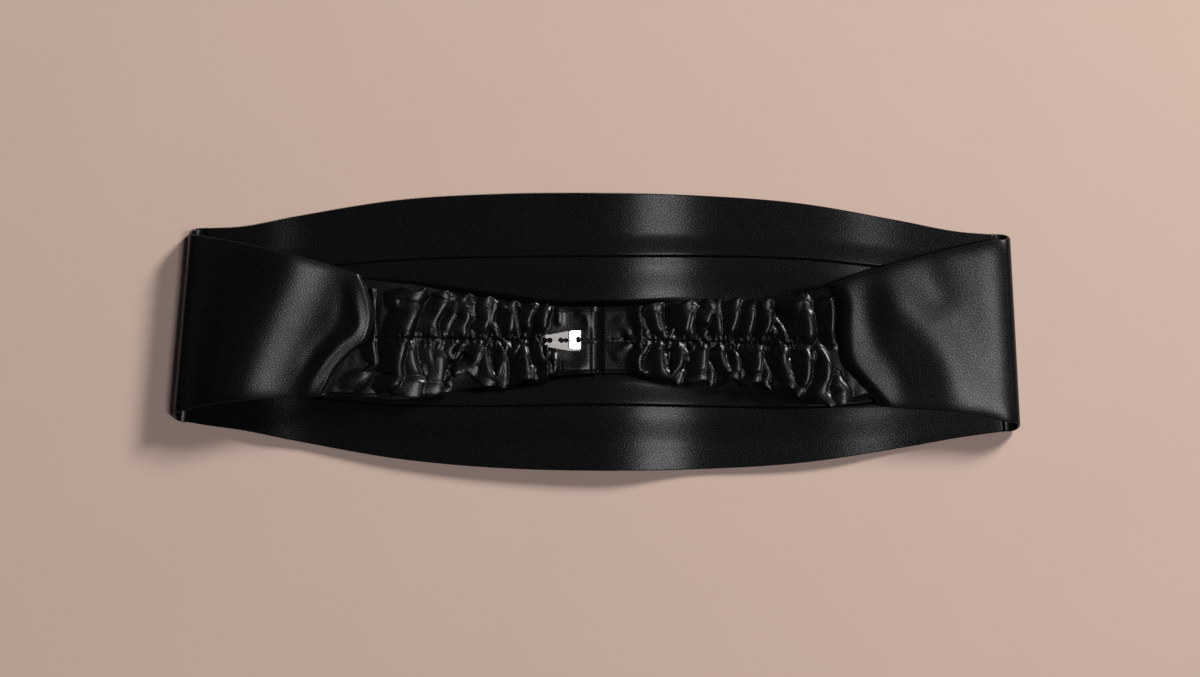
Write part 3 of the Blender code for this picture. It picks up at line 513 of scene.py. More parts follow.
# Dimples (below 0) and swells of the flat strap ends
Dimple = namedtuple("Dimple", "x_mm y_mm height_mm width_mm")
DIMPLES_RIGHT = [
    Dimple(12.7, -3.2, -1.1, 1.7),
    Dimple(9.6, -3.8, -0.4, 1.0),
    Dimple(7.2, -3.6, -0.3, 1.0),
    Dimple(20.4, -3.0, -0.5, 1.2),
]
DIMPLES_LEFT = [
    Dimple(-12.0, 2.6, -0.3, 6.0),
    Dimple(-12.0, -12.0, -0.3, 5.0),
]
CREASES_RIGHT = [
    Fold(0.45, 2.0, [(9.5, -5.5), (11.5, -7.6), (14.8, -6.8), (16.0, -3.6), (14.4, 0.2), (11.0, -0.4)]),
    Fold(0.5, 1.5, [(18.0, 2.0), (20.6, -1.0), (21.4, -4.6), (19.6, -8.6)]),
    Fold(0.35, 4.0, [(8.0, 8.0), (13.0, 3.6), (17.5, 4.5), (21.0, 9.0)]),
    Fold(0.4, 4.5, [(6.0, -13.0), (12.0, -11.0), (20.0, -16.0)]),
]
CREASES_LEFT = [
    Fold(0.6, 1.8, [(-19.4, 12.6), (-18.4, 8.0), (-18.8, 2.0)]),
    Fold(0.5, 2.6, [(-20.0, -15.0), (-15.0, -17.4), (-8.0, -17.8), (-3.5, -18.4)]),
    Fold(0.45, 2.0, [(-12.0, 8.6), (-7.0, 9.2), (-4.4, 6.0), (-4.2, -1.0)]),
]
END_ROLL = 2.2 * MM
END_ROLL_DROP = 0.8 * MM
TAB_CREASE_X = -3.4 * MM
RIGHT_END_STEP = 3.2 * MM
RIGHT_END_STEP_WIDTH = 1.5 * MM
RIGHT_END_LOW = 0.2 * MM
RIGHT_END_TILT = 0.16
RIGHT_END_LEAST = STRAP_WALL * 0.1  # least height of its middle above its underside
RIGHT_FOLDS_FROM = 13 * MM
RIGHT_FOLDS_OVER = 8 * MM
TAB_SATIN = STRAP_WALL * 0.6
TAB_ROLL_SHARE = 0.6
TAB_GROOVE = 0.35 * MM
TAB_GROOVE_WIDTH = 0.8 * MM
TAB_CREASE = 0.12 * MM
TAB_CREASE_WIDTH = 0.9 * MM
TAB_TIP_DROP = 0.5 * MM
TAB_TIP_ROLL = 1.2 * MM
CLIP_CLEARING = 6.5 * MM  # the left end has no folds this near the clip's middle line
StrapEnd = namedtuple("StrapEnd", "node span under dimples creases folds")
LEFT_END = StrapEnd("strap_end_left", LEFT_END_X, LEFT_END_UNDERSIDE, DIMPLES_LEFT, CREASES_LEFT, FOLDS_LEFT)
RIGHT_END = StrapEnd(
    "strap_end_right", RIGHT_END_X, RIGHT_END_UNDERSIDE, DIMPLES_RIGHT, CREASES_RIGHT, FOLDS_RIGHT
)

# Centre stitching
STITCH_LENGTH = 2.2 * MM
STITCH_PITCH = 3.0 * MM
THREAD_RADIUS = 0.16 * MM
THREAD_HEIGHT = STRAP_WALL * 1.25 - 0.1 * MM

# Hook clip, in its own u, v, w: along it from the left tip, across it upwards, and above its underside
CLIP_LEFT_X = -25.3 * MM
CLIP_MIDDLE_Y = -4.1 * MM
CLIP_SHEET = 0.7 * MM
CLIP_BEND_GAP = 0.9 * MM
CLIP_LENGTH = 18.1 * MM
CLIP_WAIST = 2.4 * MM
CLIP_SHOULDER = 12.1 * MM
CLIP_NARROW = (-3.4 * MM, 2.8 * MM)
CLIP_WIDE = (-5.1 * MM, 4.7 * MM)
PRONG_RADIUS = 1.0 * MM
PRONG_SPACING = 3.9 * MM
FORK_RADIUS = 1.3 * MM
FORK_U = 2.4 * MM
FORK_MOUTH = 1.7 * MM
BONE_LARGE = (7.8 * MM, 1.3 * MM)
BONE_SMALL = (10.3 * MM, 1.1 * MM)
BONE_NECK = 1.3 * MM
LIP_V = (-4.1 * MM, 4.7 * MM)
LIP_CORNER = 0.8 * MM
LIP_NOTCH_U = (15.1 * MM, 17.2 * MM)
LIP_NOTCH_V = (-1.1 * MM, 1.8 * MM)
LIP_NOTCH_CORNER = 0.7 * MM
LIP_MOUTH_V = (-0.4 * MM, 1.1 * MM)
LIP_RISE = 0.6 * MM
CLIP_EDGE = 0.12 * MM  # rounding of its pressed edges
CORNER_STEPS = 6
BEVEL_DEGREES = 40
SHARP_DEGREES = 35

# Camera: the photograph's frame on the surface, and a long lens straight above it
FRAME_WIDTH = 585.4 * MM
FRAME_MIDDLE = (1.5 * MM, -3.2 * MM)
LENS = 135.0
SENSOR = 36.0

# Lights, which aim at the origin
Light = namedtuple("Light", "name place size power colour")
LIGHTS = [
    Light("key", (2.0, -0.5, 5.7), (0.5, 1.6), 150, (0.98, 0.965, 1.0)),
    Light("side", (1.9, 2.0, 1.3), (0.6, 0.6), 150, (1.0, 0.98, 0.95)),
]
SKY = (0.9, 0.93, 1.0, 1)
SKY_STRENGTH = 0.03
FLOOR_REACH = 4.0

# Finishes; the gathered satin's darker ground and figure are painted shade
Finish = namedtuple("Finish", "name ground figure gloss roughness figure_roughness relief grain")
PLAIN = Finish("satin", (0.0026, 0.0025, 0.0026), (0.0040, 0.0039, 0.0042), 0.24, 0.255, 0.01, 0.1, 0.6)
# The same satin as the plain one, with a darker ground and figure: painted shade for the gathers' folds and
# the flat strap ends
SHADED_GATHERED = Finish(
    "shaded_gathered_satin", (0.0014, 0.0013, 0.0014), (0.0022, 0.0021, 0.0023), 0.35, 0.28, 0.02, 0.1, 0.2
)
GROUND_TINT = 0.58  # how bright the ground's gloss is beside that of the figure
RING_CELL = 4.0 * MM
RING_SPACING = 1.35 * MM
RING_RANDOMNESS = 0.85
RING_GAIN = 2.2
RING_CUT = 0.6
DRIFT_SIZE = 8 * MM
DRIFT_BEND = 1.3 * MM
MOTTLE_SIZE = 22 * MM
MOTTLE_ROUGHNESS = 0.05
WEAVE_SCALE = 1 / (0.32 * MM) / 6.283  # of the wave texture
WEAVE_HEIGHT = 0.12
SATIN_DEPTH = 0.05 * MM
NICKEL = (0.80, 0.765, 0.72)
NICKEL_CLOUDED = 0.92  # how bright its clouds are beside the rest
NICKEL_CLOUD_SIZE = 3 * MM
NICKEL_LINE_SIZE = 0.9 * MM
NICKEL_LINE_STRETCH = (0.25, 6.0, 1.0)
NICKEL_LINE_ROUGHNESS = 0.12
NICKEL_LINE_DEPTH = 0.02 * MM
NICKEL_ROUGHNESS = 0.2
# The thread's two tones, set in bands along its twist: the lighter bands are painted highlight on its plies
THREAD_SHADES = (0.010, 0.010, 0.011), (0.030, 0.030, 0.033)
THREAD_TWIST = 1 / (1.2 * MM)  # scale of the wave texture
FLOOR_SHADES = (0.48, 0.355, 0.295), (0.505, 0.375, 0.315)


def curve(table, column, key="x_mm"):
    """A smooth curve through one column of a table, as a function of the key column."""
    keys = np.array([getattr(row, key) for row in table], float)
    values = np.array([getattr(row, column) for row in table], float)
    slopes = np.gradient(values, keys)

    def at(x):
        x = np.clip(x, keys[0], keys[-1])
        i = np.clip(np.searchsorted(keys, x) - 1, 0, len(keys) - 2)
        step = keys[i + 1] - keys[i]
        t = (x - keys[i]) / step
        return (
            (2 * t**3 - 3 * t**2 + 1) * values[i]
            + (t**3 - 2 * t**2 + t) * step * slopes[i]
            + (3 * t**2 - 2 * t**3) * values[i + 1]
            + (t**3 - t**2) * step * slopes[i + 1]
        )

    return at


def edge(table, column):
    """The same curve with X and the result in metres."""
    at = curve(table, column)
    return lambda x: at(x / MM) * MM


def smooth(t):
    t = np.clip(t, 0, 1)
    return t * t * (3 - 2 * t)


FRONT_TOP = edge(FRONT, "top_mm")
FRONT_BOTTOM = edge(FRONT, "bottom_mm")
STRAP_TOP = edge(STRAP, "top_mm")
STRAP_BOTTOM = edge(STRAP, "bottom_mm")
STRAP_STITCH = edge(STRAP, "stitch_mm")
STRAP_UNDER = edge(STRAP, "under_mm")


def unit(vectors):
    return vectors / np.maximum(np.linalg.norm(vectors, axis=-1, keepdims=True), 1e-12)


def add_object(name, data):
    obj = bpy.data.objects.new(name, data)
    bpy.context.scene.collection.objects.link(obj)
    return obj


def bmesh_object(name, shape):
    """An object from a bmesh, which is freed."""
    mesh = bpy.data.meshes.new(name)
    shape.to_mesh(mesh)
    shape.free()
    return add_object(name, mesh)


def mesh_object(name, points, faces, material):
    mesh = bpy.data.meshes.new(name)
    mesh.from_pydata(points, [], faces)
    mesh.update()
    mesh.materials.append(material)
    return add_object(name, mesh)


def steps(length, size):
    return max(2, int(round(length / size)))


def beside_edges(grid):
    """The grid with one more row just inside each border, which keeps the shading flat up to the rim."""
    for axis in (0, 1):
        grid = np.moveaxis(grid, axis, 0)
        first = grid[:1] + (grid[1:2] - grid[:1]) * BORDER_SHARE
        last = grid[-1:] + (grid[-2:-1] - grid[-1:]) * BORDER_SHARE
        grid = np.concatenate([grid[:1], first, grid[1:-1], last, grid[-1:]])
        grid = np.moveaxis(grid, 0, axis)
    return grid


def shell(name, middle, thickness, material, cloth=None):
    """A closed sheet of cloth round a grid of points, with round rims.

    Its map "cloth" holds the places on the flat cloth, in metres: those given, or else the lengths along
    the grid.
    """
    middle = beside_edges(middle)
    rows, columns = middle.shape[:2]
    half = thickness / 2
    along = unit(np.gradient(middle, axis=0))
    across = unit(np.gradient(middle, axis=1))
    normal = unit(np.cross(along, across))
    lean_i = np.zeros((rows, columns, 1))
    lean_i[0], lean_i[-1] = -1, 1
    lean_j = np.zeros((rows, columns, 1))
    lean_j[:, 0], lean_j[:, -1] = -1, 1
    outward = unit(along * lean_i + across * lean_j)

    rim = [(i, 0) for i in range(rows)]
    rim += [(rows - 1, j) for j in range(1, columns)]
    rim += [(i, columns - 1) for i in range(rows - 2, -1, -1)]
    rim += [(0, j) for j in range(columns - 2, 0, -1)]
    rim_i = np.array([i for i, _ in rim])
    rim_j = np.array([j for _, j in rim])
    layers = [(middle + normal * half).reshape(-1, 3), (middle - normal * half).reshape(-1, 3)]
    for k in range(1, RIM_STEPS):
        angle = math.pi * k / RIM_STEPS
        turned = outward * math.sin(angle) + normal * math.cos(angle)
        layers.append((middle + turned * half)[rim_i, rim_j])
    points = np.concatenate(layers)
    count = rows * columns
    index = np.arange(count).reshape(rows, columns)
    quads = np.stack([index[:-1, :-1], index[1:, :-1], index[1:, 1:], index[:-1, 1:]], axis=-1)
    quads = quads.reshape(-1, 4)
    rings = [index[rim_i, rim_j]]
    rings += [2 * count + k * len(rim) + np.arange(len(rim)) for k in range(RIM_STEPS - 1)]
    rings += [index[rim_i, rim_j] + count]
    faces = [quads, quads[:, ::-1] + count]
    after = np.roll(np.arange(len(rim)), -1)
    for upper, lower in zip(rings[:-1], rings[1:]):
        faces.append(np.stack([lower, lower[after], upper[after], upper], axis=-1))
    faces = np.concatenate(faces)

    if cloth is None:
        gaps_i = np.linalg.norm(np.diff(middle, axis=0), axis=2)
        gaps_j = np.linalg.norm(np.diff(middle, axis=1), axis=2)
        cloth_u = np.concatenate([np.zeros((1, columns)), np.cumsum(gaps_i, axis=0)])
        cloth_v = np.concatenate([np.zeros((rows, 1)), np.cumsum(gaps_j, axis=1)], axis=1)
    else:
        cloth_u, cloth_v = (beside_edges(places) for places in cloth)
    flat = np.stack([cloth_u, cloth_v], axis=-1)
    places = [flat.reshape(-1, 2)] * 2 + [flat[rim_i, rim_j]] * (RIM_STEPS - 1)
    places = np.concatenate(places)

    obj = mesh_object(name, points.tolist(), faces.tolist(), material)
    obj.data.shade_smooth()
    layer = obj.data.uv_layers.new(name="cloth")
    corners = np.empty(len(obj.data.loops), dtype=np.int32)
    obj.data.loops.foreach_get("vertex_index", corners)
    layer.data.foreach_set("uv", places[corners].astype(np.float32).ravel())
    return obj


def dress(piece, nodes):
    """The piece rides on the one body, and stands for its nodes."""
    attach(piece, "root")
    if nodes:
        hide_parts(*nodes)
    return piece


# Materials


def set_inputs(made, inputs):
    """Each input of the node takes a value, or a link from another node's socket."""
    for name, value in dict(inputs).items():
        if isinstance(value, bpy.types.NodeSocket):
            made.id_data.links.new(value, made.inputs[name])
        else:
            made.inputs[name].default_value = value


def node(tree, kind, inputs=(), **settings):
    made = tree.nodes.new(kind)
    for name, value in settings.items():
        setattr(made, name, value)
    set_inputs(made, inputs)
    return made


def math_node(tree, operation, *values, clamp=False):
    return node(tree, "ShaderNodeMath", enumerate(values), operation=operation, use_clamp=clamp).outputs[0]


def mix(tree, factor, first, second):
    """A colour between two, which are given as red, green and blue."""
    inputs = {"A": (*first, 1), "B": (*second, 1), "Factor": factor}
    return node(tree, "ShaderNodeMix", inputs, data_type="RGBA").outputs["Result"]


def bump(tree, strength, distance, height):
    inputs = {"Strength": strength, "Distance": distance, "Height": height}
    return node(tree, "ShaderNodeBump", inputs).outputs[0]


def clouds(tree, size, vector, **inputs):
    return node(tree, "ShaderNodeTexNoise", {"Scale": 1 / size, "Vector": vector, **inputs})


def new_material(name):
    material = bpy.data.materials.new(name)
    material.use_nodes = True
    tree = material.node_tree
    return material, tree, tree.nodes["Principled BSDF"]


def satin_material(finish):
    """Black satin: a faint woven figure of small rings, fine floats, and a cool sheen."""
    material, tree, shader = new_material(finish.name)
    cloth = node(tree, "ShaderNodeUVMap", uv_map="cloth").outputs[0]
    drift = clouds(tree, DRIFT_SIZE, cloth, Detail=0)
    drift.noise_dimensions = "2D"
    bend = node(tree, "ShaderNodeVectorMath", operation="SCALE")
    set_inputs(bend, {0: drift.outputs["Color"], "Scale": DRIFT_BEND})
    bent = node(tree, "ShaderNodeVectorMath", {0: cloth, 1: bend.outputs[0]}, operation="ADD")
    cells = node(tree, "ShaderNodeTexVoronoi", voronoi_dimensions="2D", feature="F1")
    set_inputs(cells, {"Scale": 1 / RING_CELL, "Randomness": RING_RANDOMNESS, "Vector": bent.outputs[0]})
    turns = math_node(tree, "MULTIPLY", cells.outputs["Distance"], 2 * math.pi * RING_CELL / RING_SPACING)
    waves = math_node(tree, "MULTIPLY", math_node(tree, "SINE", turns), RING_GAIN)
    rings = math_node(tree, "SUBTRACT", waves, RING_CUT, clamp=True)

    mottle = clouds(tree, MOTTLE_SIZE, cloth, Detail=3)
    mottle.noise_dimensions = "2D"
    rough = math_node(tree, "MULTIPLY_ADD", rings, finish.figure_roughness, finish.roughness)
    weave = node(tree, "ShaderNodeTexWave", wave_type="BANDS", bands_direction="DIAGONAL")
    set_inputs(weave, {"Scale": WEAVE_SCALE, "Distortion": 1.5, "Detail": 1, "Vector": cloth})
    height = math_node(tree, "MULTIPLY_ADD", weave.outputs["Fac"], WEAVE_HEIGHT, rings)
    tangent = node(tree, "ShaderNodeTangent", direction_type="UV_MAP", uv_map="cloth")
    set_inputs(shader, {
        "Base Color": mix(tree, rings, finish.ground, finish.figure),
        "Specular Tint": mix(tree, rings, (GROUND_TINT,) * 3, (1, 1, 1)),
        "Roughness": math_node(tree, "MULTIPLY_ADD", mottle.outputs["Fac"], MOTTLE_ROUGHNESS, rough),
        "Normal": bump(tree, finish.relief, SATIN_DEPTH, height),
        "Tangent": tangent.outputs[0],
        "Anisotropic": finish.grain,
        "Anisotropic Rotation": 0.25,
        "Specular IOR Level": finish.gloss,
    })
    return material


def nickel_material():
    """Pressed and plated sheet: fine drawn lines and a little cloudiness."""
    material, tree, shader = new_material("nickel")
    place = node(tree, "ShaderNodeTexCoord").outputs["Object"]
    stretch = node(tree, "ShaderNodeMapping", {"Vector": place, "Scale": NICKEL_LINE_STRETCH})
    lines = clouds(tree, NICKEL_LINE_SIZE, stretch.outputs[0], Detail=3).outputs["Fac"]
    cloud = clouds(tree, NICKEL_CLOUD_SIZE, place).outputs["Fac"]
    set_inputs(shader, {
        "Base Color": mix(tree, cloud, [level * NICKEL_CLOUDED for level in NICKEL], NICKEL),
        "Roughness": math_node(tree, "MULTIPLY_ADD", lines, NICKEL_LINE_ROUGHNESS, NICKEL_ROUGHNESS),
        "Normal": bump(tree, 0.01, NICKEL_LINE_DEPTH, lines),
        "Metallic": 1.0,
    })
    return material


def thread_material():
    material, tree, shader = new_material("thread")
    place = node(tree, "ShaderNodeTexCoord").outputs["Object"]
    twist = node(tree, "ShaderNodeTexWave", wave_type="BANDS", bands_direction="DIAGONAL")
    set_inputs(twist, {"Scale": THREAD_TWIST, "Vector": place})
    # Painted highlight and shade in bands along the twist
    tint = mix(tree, twist.outputs["Fac"], *THREAD_SHADES)
    set_inputs(shader, {"Base Color": tint, "Roughness": 0.55})
    return material


def floor_material():
    material, tree, shader = new_material("floor")
    place = node(tree, "ShaderNodeTexCoord").outputs["Object"]
    cloud = node(tree, "ShaderNodeTexNoise", {"Scale": 14, "Detail": 4, "Vector": place})
    tint = mix(tree, cloud.outputs["Fac"], *FLOOR_SHADES)
    set_inputs(shader, {"Base Color": tint, "Roughness": 0.85})
    return material


# The front


def fold_line(side, share):
    """X of the wall's middle along a side fold, at a share of the wing's height from its lower edge."""
    bottom, top = FOLD_LEFT_MM if side < 0 else FOLD_RIGHT_MM
    return (bottom + (top - bottom) * share) * MM - side * WING_WALL / 2


def seam(side, share):
    return fold_line(side, share) - side * SEAM_INSET


def front_points(share):
    """X and Y of the front, a column for each step from seam to seam, at shares of its height."""
    across = np.linspace(0, 1, len(share))[:, None]
    left = seam(-1, share) + SEAM_GAP / 2
    right = seam(1, share) - SEAM_GAP / 2
    x = left + (right - left) * across
    return x, FRONT_BOTTOM(x) + (FRONT_TOP(x) - FRONT_BOTTOM(x)) * share


def swell(x, y):
    """Low waves of the front that fade out under the strap."""
    ends = seam(-1, 0.5) / MM, seam(1, 0.5) / MM
    across = np.linspace(*ends, SWELL_SAMPLES)
    tilt = sum(row.tilt * np.exp(-(((across - row.x_mm) / row.width_mm) ** 2)) for row in SLOPES)
    height = np.concatenate([[0], np.cumsum((tilt[1:] + tilt[:-1]) / 2 * np.diff(across))])
    height = height[-1] * np.linspace(0, 1, SWELL_SAMPLES) - height
    height -= height.min()
    middle = (STRAP_TOP(x) + STRAP_BOTTOM(x)) / 2
    clear = smooth((np.abs(y - middle) - (STRAP_TOP(x) - middle)) / SWELL_CLEAR)
    return np.interp(x / MM, across, height) * MM * clear


def make_front(satin):
    """The backing and the pleats over it. A pleat's lower edge is tucked under the next one's fold."""
    count = steps(FRONT_LENGTH, FRONT_STEP) + 1
    share = np.linspace(0, 1, steps(FRONT_HEIGHT, FRONT_STEP * 2) + 1)
    x, y = front_points(np.broadcast_to(share, (count, len(share))))
    middle = np.stack([x, y, np.full_like(x, BACKING_WALL / 2)], axis=-1)
    backing = shell("front_backing_cloth", middle, BACKING_CLOTH, satin, (x, y))
    dress(backing, ["front_backing"])

    low = BACKING_WALL + SEAM_GAP + PLEAT_WALL - SATIN / 2
    raised = PLEAT_WALL + SEAM_GAP
    x = np.linspace(seam(-1, 0.5), seam(1, 0.5), count)[:, None]
    height = FRONT_TOP(x) - FRONT_BOTTOM(x)
    upper = curve(PLEAT_FOLDS, "upper")(x / MM)
    lower = curve(PLEAT_FOLDS, "lower")(x / MM)
    tuck = PLEAT_TUCK / height
    spans = {"upper": (1 + 0 * x, upper - tuck), "middle": (upper, lower - tuck), "lower": (lower, 0 * x)}
    for name, (top, bottom) in spans.items():
        rows = steps(((top - bottom) * height).max(), PLEAT_STEP) + 1
        level = np.linspace(0, 1, rows)[None, :]
        share = bottom + (top - bottom) * level
        drop = (top - share) * height
        lift = 0 if name == "upper" else 1 - smooth((drop - PLEAT_LEVEL) / PLEAT_SLOPE)
        x_here, y = front_points(share)
        z = low + raised * lift + swell(x_here, y)
        if name != "lower":
            above = (share - bottom) * height - PLEAT_TUCK - CHANNEL_MARGIN
            z += CHANNEL_LIP * smooth(above / CHANNEL_WIDTH) * (1 - smooth(above / CHANNEL_FADE))
        middle = np.stack([x_here, y, z], axis=-1)
        cloth = (x_here, y + PLEAT_CLOTH[name])
        piece = dress(shell(f"pleat_{name}_cloth", middle, SATIN, satin, cloth), [f"pleat_{name}"])


# The wings


def ridge_lift(x, y, ridges):
    """Height that soft ridges and troughs add at each place."""
    total = np.zeros_like(x)
    for ridge in ridges:
        away, share, _ = along_path(x, y, traced(ridge.path_mm))
        ends = smooth(share / RIDGE_TAPER) * smooth((1 - share) / RIDGE_TAPER)
        total += ridge.height_mm * MM * np.exp(-((away / (ridge.width_mm * MM)) ** 2)) * ends
    return total


def wing_points(wing, share, forward):
    """Points of a wing's upper layer. share is height from the lower edge, and forward from fold to end."""
    ends = curve(wing.end, "x_mm", "share")(share) * MM
    start = fold_line(wing.side, share) - wing.side * FOLD_DEPTH
    x = start + (ends - start) * forward
    top, bottom = edge(wing.outline, "top_mm"), edge(wing.outline, "bottom_mm")
    y = bottom(x) + (top(x) - bottom(x)) * share
    height = WING_FOLD_HEIGHT + (WING_END_HEIGHT - WING_FOLD_HEIGHT) * forward
    edges = np.abs(2 * share - 1)
    height = height - WING_EDGE_DROP * edges**EDGE_POWER
    height = height - CORNER_DROP * edges**CORNER_POWER * (1 - smooth(forward / CORNER_REACH))
    height = height - wing.sag_mm * MM * np.maximum(1 - forward / wing.sag_reach, 0) ** 2
    near_fold = np.maximum(1 - np.abs(x - start) / FOLD_ROLL_REACH, 0)
    height = height - wing.fold_roll_mm * MM * near_fold**3
    height = height + ridge_lift(x, y, wing.ridges) * smooth(forward / RIDGES_START)
    seat = STRAP_UNDER(ends) + STRAP_WALL + SEAM_GAP + WING_WALL / 2
    nearness = np.clip(1 - np.abs(ends - x) / (wing.roll_mm * MM), 0, 1)
    roll = 1 - np.sqrt(1 - nearness**2)
    return np.stack([x, y, height + (seat - height) * roll], axis=-1)


def make_wing(wing, satin):
    """A side wing: a little cloth on the surface, a fold, and the upper layer that tapers to the strap."""
    share = np.linspace(0, 1, steps(WING_HEIGHT, WING_STEP) + 1)[None, :]
    fold_x = fold_line(wing.side, share) - wing.side * FOLD_DEPTH
    start = seam(wing.side, share) + wing.side * SEAM_GAP / 2
    gone = np.linspace(0, 1, SEAM_ROWS)[:, None]
    x = start + (fold_x - start) * gone
    y = FRONT_BOTTOM(x) + (FRONT_TOP(x) - FRONT_BOTTOM(x)) * share
    lower = np.stack([x, y, WING_WALL / 2 + SEAM_LIFT * (1 - smooth(gone)) + 0 * x], axis=-1)
    forward = np.linspace(0, 1, steps(WING_LENGTH, WING_STEP) + 1)[:, None]
    upper = wing_points(wing, share, forward)
    turn = np.linspace(0, 1, FOLD_ROWS)[1:-1, None]
    angle = math.pi * (turn - 0.5)
    nose = np.cos(angle) ** FOLD_SQUARE
    rise = (1 + np.sign(angle) * np.abs(np.sin(angle)) ** FOLD_SQUARE) / 2
    x = fold_x + wing.side * FOLD_DEPTH * nose
    y = lower[-1, :, 1] + (upper[0, :, 1] - lower[-1, :, 1]) * smooth(turn)
    z = lower[-1, :, 2] + (upper[0, :, 2] - lower[-1, :, 2]) * rise
    tilt = 2 * wing.sag_mm * MM / (wing.sag_reach * np.abs(upper[-1, :, 0] - upper[0, :, 0]))
    tilt += 3 * wing.fold_roll_mm * MM / FOLD_ROLL_REACH
    z -= tilt * FOLD_DEPTH * nose * rise
    middle = np.concatenate([lower, np.stack([x, y, z], axis=-1), upper])
    if wing.side > 0:
        middle = middle[:, ::-1]
    piece = dress(shell(f"{wing.node}_cloth", middle, WING_SATIN, satin), [wing.node])


def wing_end_x(wing, y):
    """X of a wing's inner end at each Y."""
    share = np.linspace(0, 1, WING_END_SAMPLES)
    end = wing_points(wing, share, 1.0)
    return np.interp(y, end[:, 1], end[:, 0])


# The strap


def traced(path_mm):
    """Points of a smooth line through a path, in metres."""
    knots = np.array(path_mm, float) * MM
    before, after = 2 * knots[:1] - knots[1:2], 2 * knots[-1:] - knots[-2:-1]
    knots = np.concatenate([before, knots, after])
    t = np.arange(PATH_STEPS)[:, None] / PATH_STEPS
    points = []
    for a, b, c, d in zip(knots[:-3], knots[1:-2], knots[2:-1], knots[3:]):
        bent = (2 * a - 5 * b + 4 * c - d) * t**2 + (3 * b - a - 3 * c + d) * t**3
        points.append((2 * b + (c - a) * t + bent) / 2)
    return np.concatenate(points + [knots[-2:-1]])


def along_path(x, y, points):
    """Distance of each place from a line of points, its share of the way along it, and its offset in X."""
    best = np.full(x.shape, np.inf)
    share = np.zeros(x.shape)
    right = np.zeros(x.shape)
    spans = np.linalg.norm(np.diff(points, axis=0), axis=1)
    gone = np.concatenate([[0], np.cumsum(spans)]) / spans.sum()
    for i, span in enumerate(spans):
        start, run = points[i], points[i + 1] - points[i]
        t = np.clip(((x - start[0]) * run[0] + (y - start[1]) * run[1]) / span**2, 0, 1)
        offset = x - start[0] - t * run[0]
        away = np.hypot(offset, y - start[1] - t * run[1])
        nearer = away < best
        best = np.where(nearer, away, best)
        share = np.where(nearer, gone[i] + t * (gone[i + 1] - gone[i]), share)
        right = np.where(nearer, offset, right)
    return best, share, right


def fold_lift(x, y, folds, held=0.0):
    """Height of the folds at each place. The highest fold shows.

    Each fold has a round crest, a long slope at its left and a steep one at its right. It fades at its
    ends, but not where the cloth's edge holds it up.
    """
    weight = np.ones(x.shape)
    held = np.broadcast_to(held, x.shape)
    for fold in folds:
        points = traced(fold.path_mm)
        reach = FOLD_HEIGHT * fold.height_mm * MM / LONG_SLOPE + fold.width_mm * (1 + CREST_FLARE) * MM
        low, high = points.min(0) - reach, points.max(0) + reach
        near = (x > low[0]) & (x < high[0]) & (y > low[1]) & (y < high[1])
        if not near.any():
            continue
        away, share, right = along_path(x[near], y[near], points)
        crest = fold.width_mm * (1 + CREST_FLARE * held[near]) * MM
        moved = right - CREST_SHIFT * crest
        ends = smooth(share / FOLD_TAPER) * smooth((1 - share) / FOLD_TAPER)
        ends = FOLD_END + (1 - FOLD_END) * np.maximum(ends, held[near])
        top = FOLD_HEIGHT * fold.height_mm * MM * ends + crest * math.sqrt(STEEP_SLOPE * LONG_SLOPE)
        fall = (STEEP_SLOPE + LONG_SLOPE) / 2 * np.sqrt(away**2 - right**2 + moved**2 + crest**2)
        fall += (STEEP_SLOPE - LONG_SLOPE) / 2 * moved
        weight[near] += np.exp((top - fall) / FOLD_BLEND)
    return FOLD_BLEND * np.log(weight)


def crumple(x, y, waves):
    """Soft uneven waves, longer along Y than along X."""
    draw = np.random.default_rng(waves.seed)
    total = np.zeros_like(x)
    for _ in range(waves.count):
        across = 2 * math.pi / (draw.uniform(*waves.x_mm) * MM)
        up = 2 * math.pi / (draw.uniform(*waves.y_mm) * MM) * draw.choice([-1, 1])
        total += np.sin(across * x + up * y + draw.uniform(0, 2 * math.pi))
    return total / math.sqrt(waves.count)


def pucker_folds(side, start_mm, end_mm):
    """Short folds that the centre stitching pulls into the cloth, alike in kind and uneven in size."""
    draw = np.random.default_rng(PUCKER_SEEDS[side])
    folds = []
    x = min(start_mm, end_mm)
    while x < max(start_mm, end_mm):
        stitch = float(STRAP_STITCH(x * MM)) / MM
        for half in (-1, 1):
            reach = draw.uniform(*PUCKER_REACH_MM)
            foot = x + draw.uniform(-PUCKER_SHIFT_MM, PUCKER_SHIFT_MM)
            slant = draw.uniform(-PUCKER_SLANT, PUCKER_SLANT) * reach
            path = [
                (foot, stitch + half * PUCKER_FOOT_MM),
                (foot + slant * 0.4, stitch + half * reach * 0.5),
                (foot + slant, stitch + half * reach),
            ]
            folds.append(Fold(draw.uniform(*PUCKER_HEIGHT_MM), PUCKER_WIDTH_MM, path))
        x += PUCKER_PITCH_MM * draw.uniform(*PUCKER_SPACING)
    return folds


def edge_line(points_mm):
    """Y of an outline given as points, as a function of X, in metres."""
    xs, ys = np.array(points_mm, float).T * MM
    fine = np.linspace(xs[0], xs[-1], RIM_SAMPLES)
    line = np.interp(fine, xs, ys)
    kernel = np.hanning(RIM_BLUR)
    padded = np.pad(line, RIM_BLUR // 2, mode="edge")
    line = np.convolve(padded, kernel / kernel.sum(), mode="valid")
    return lambda x: np.interp(x, fine, line)


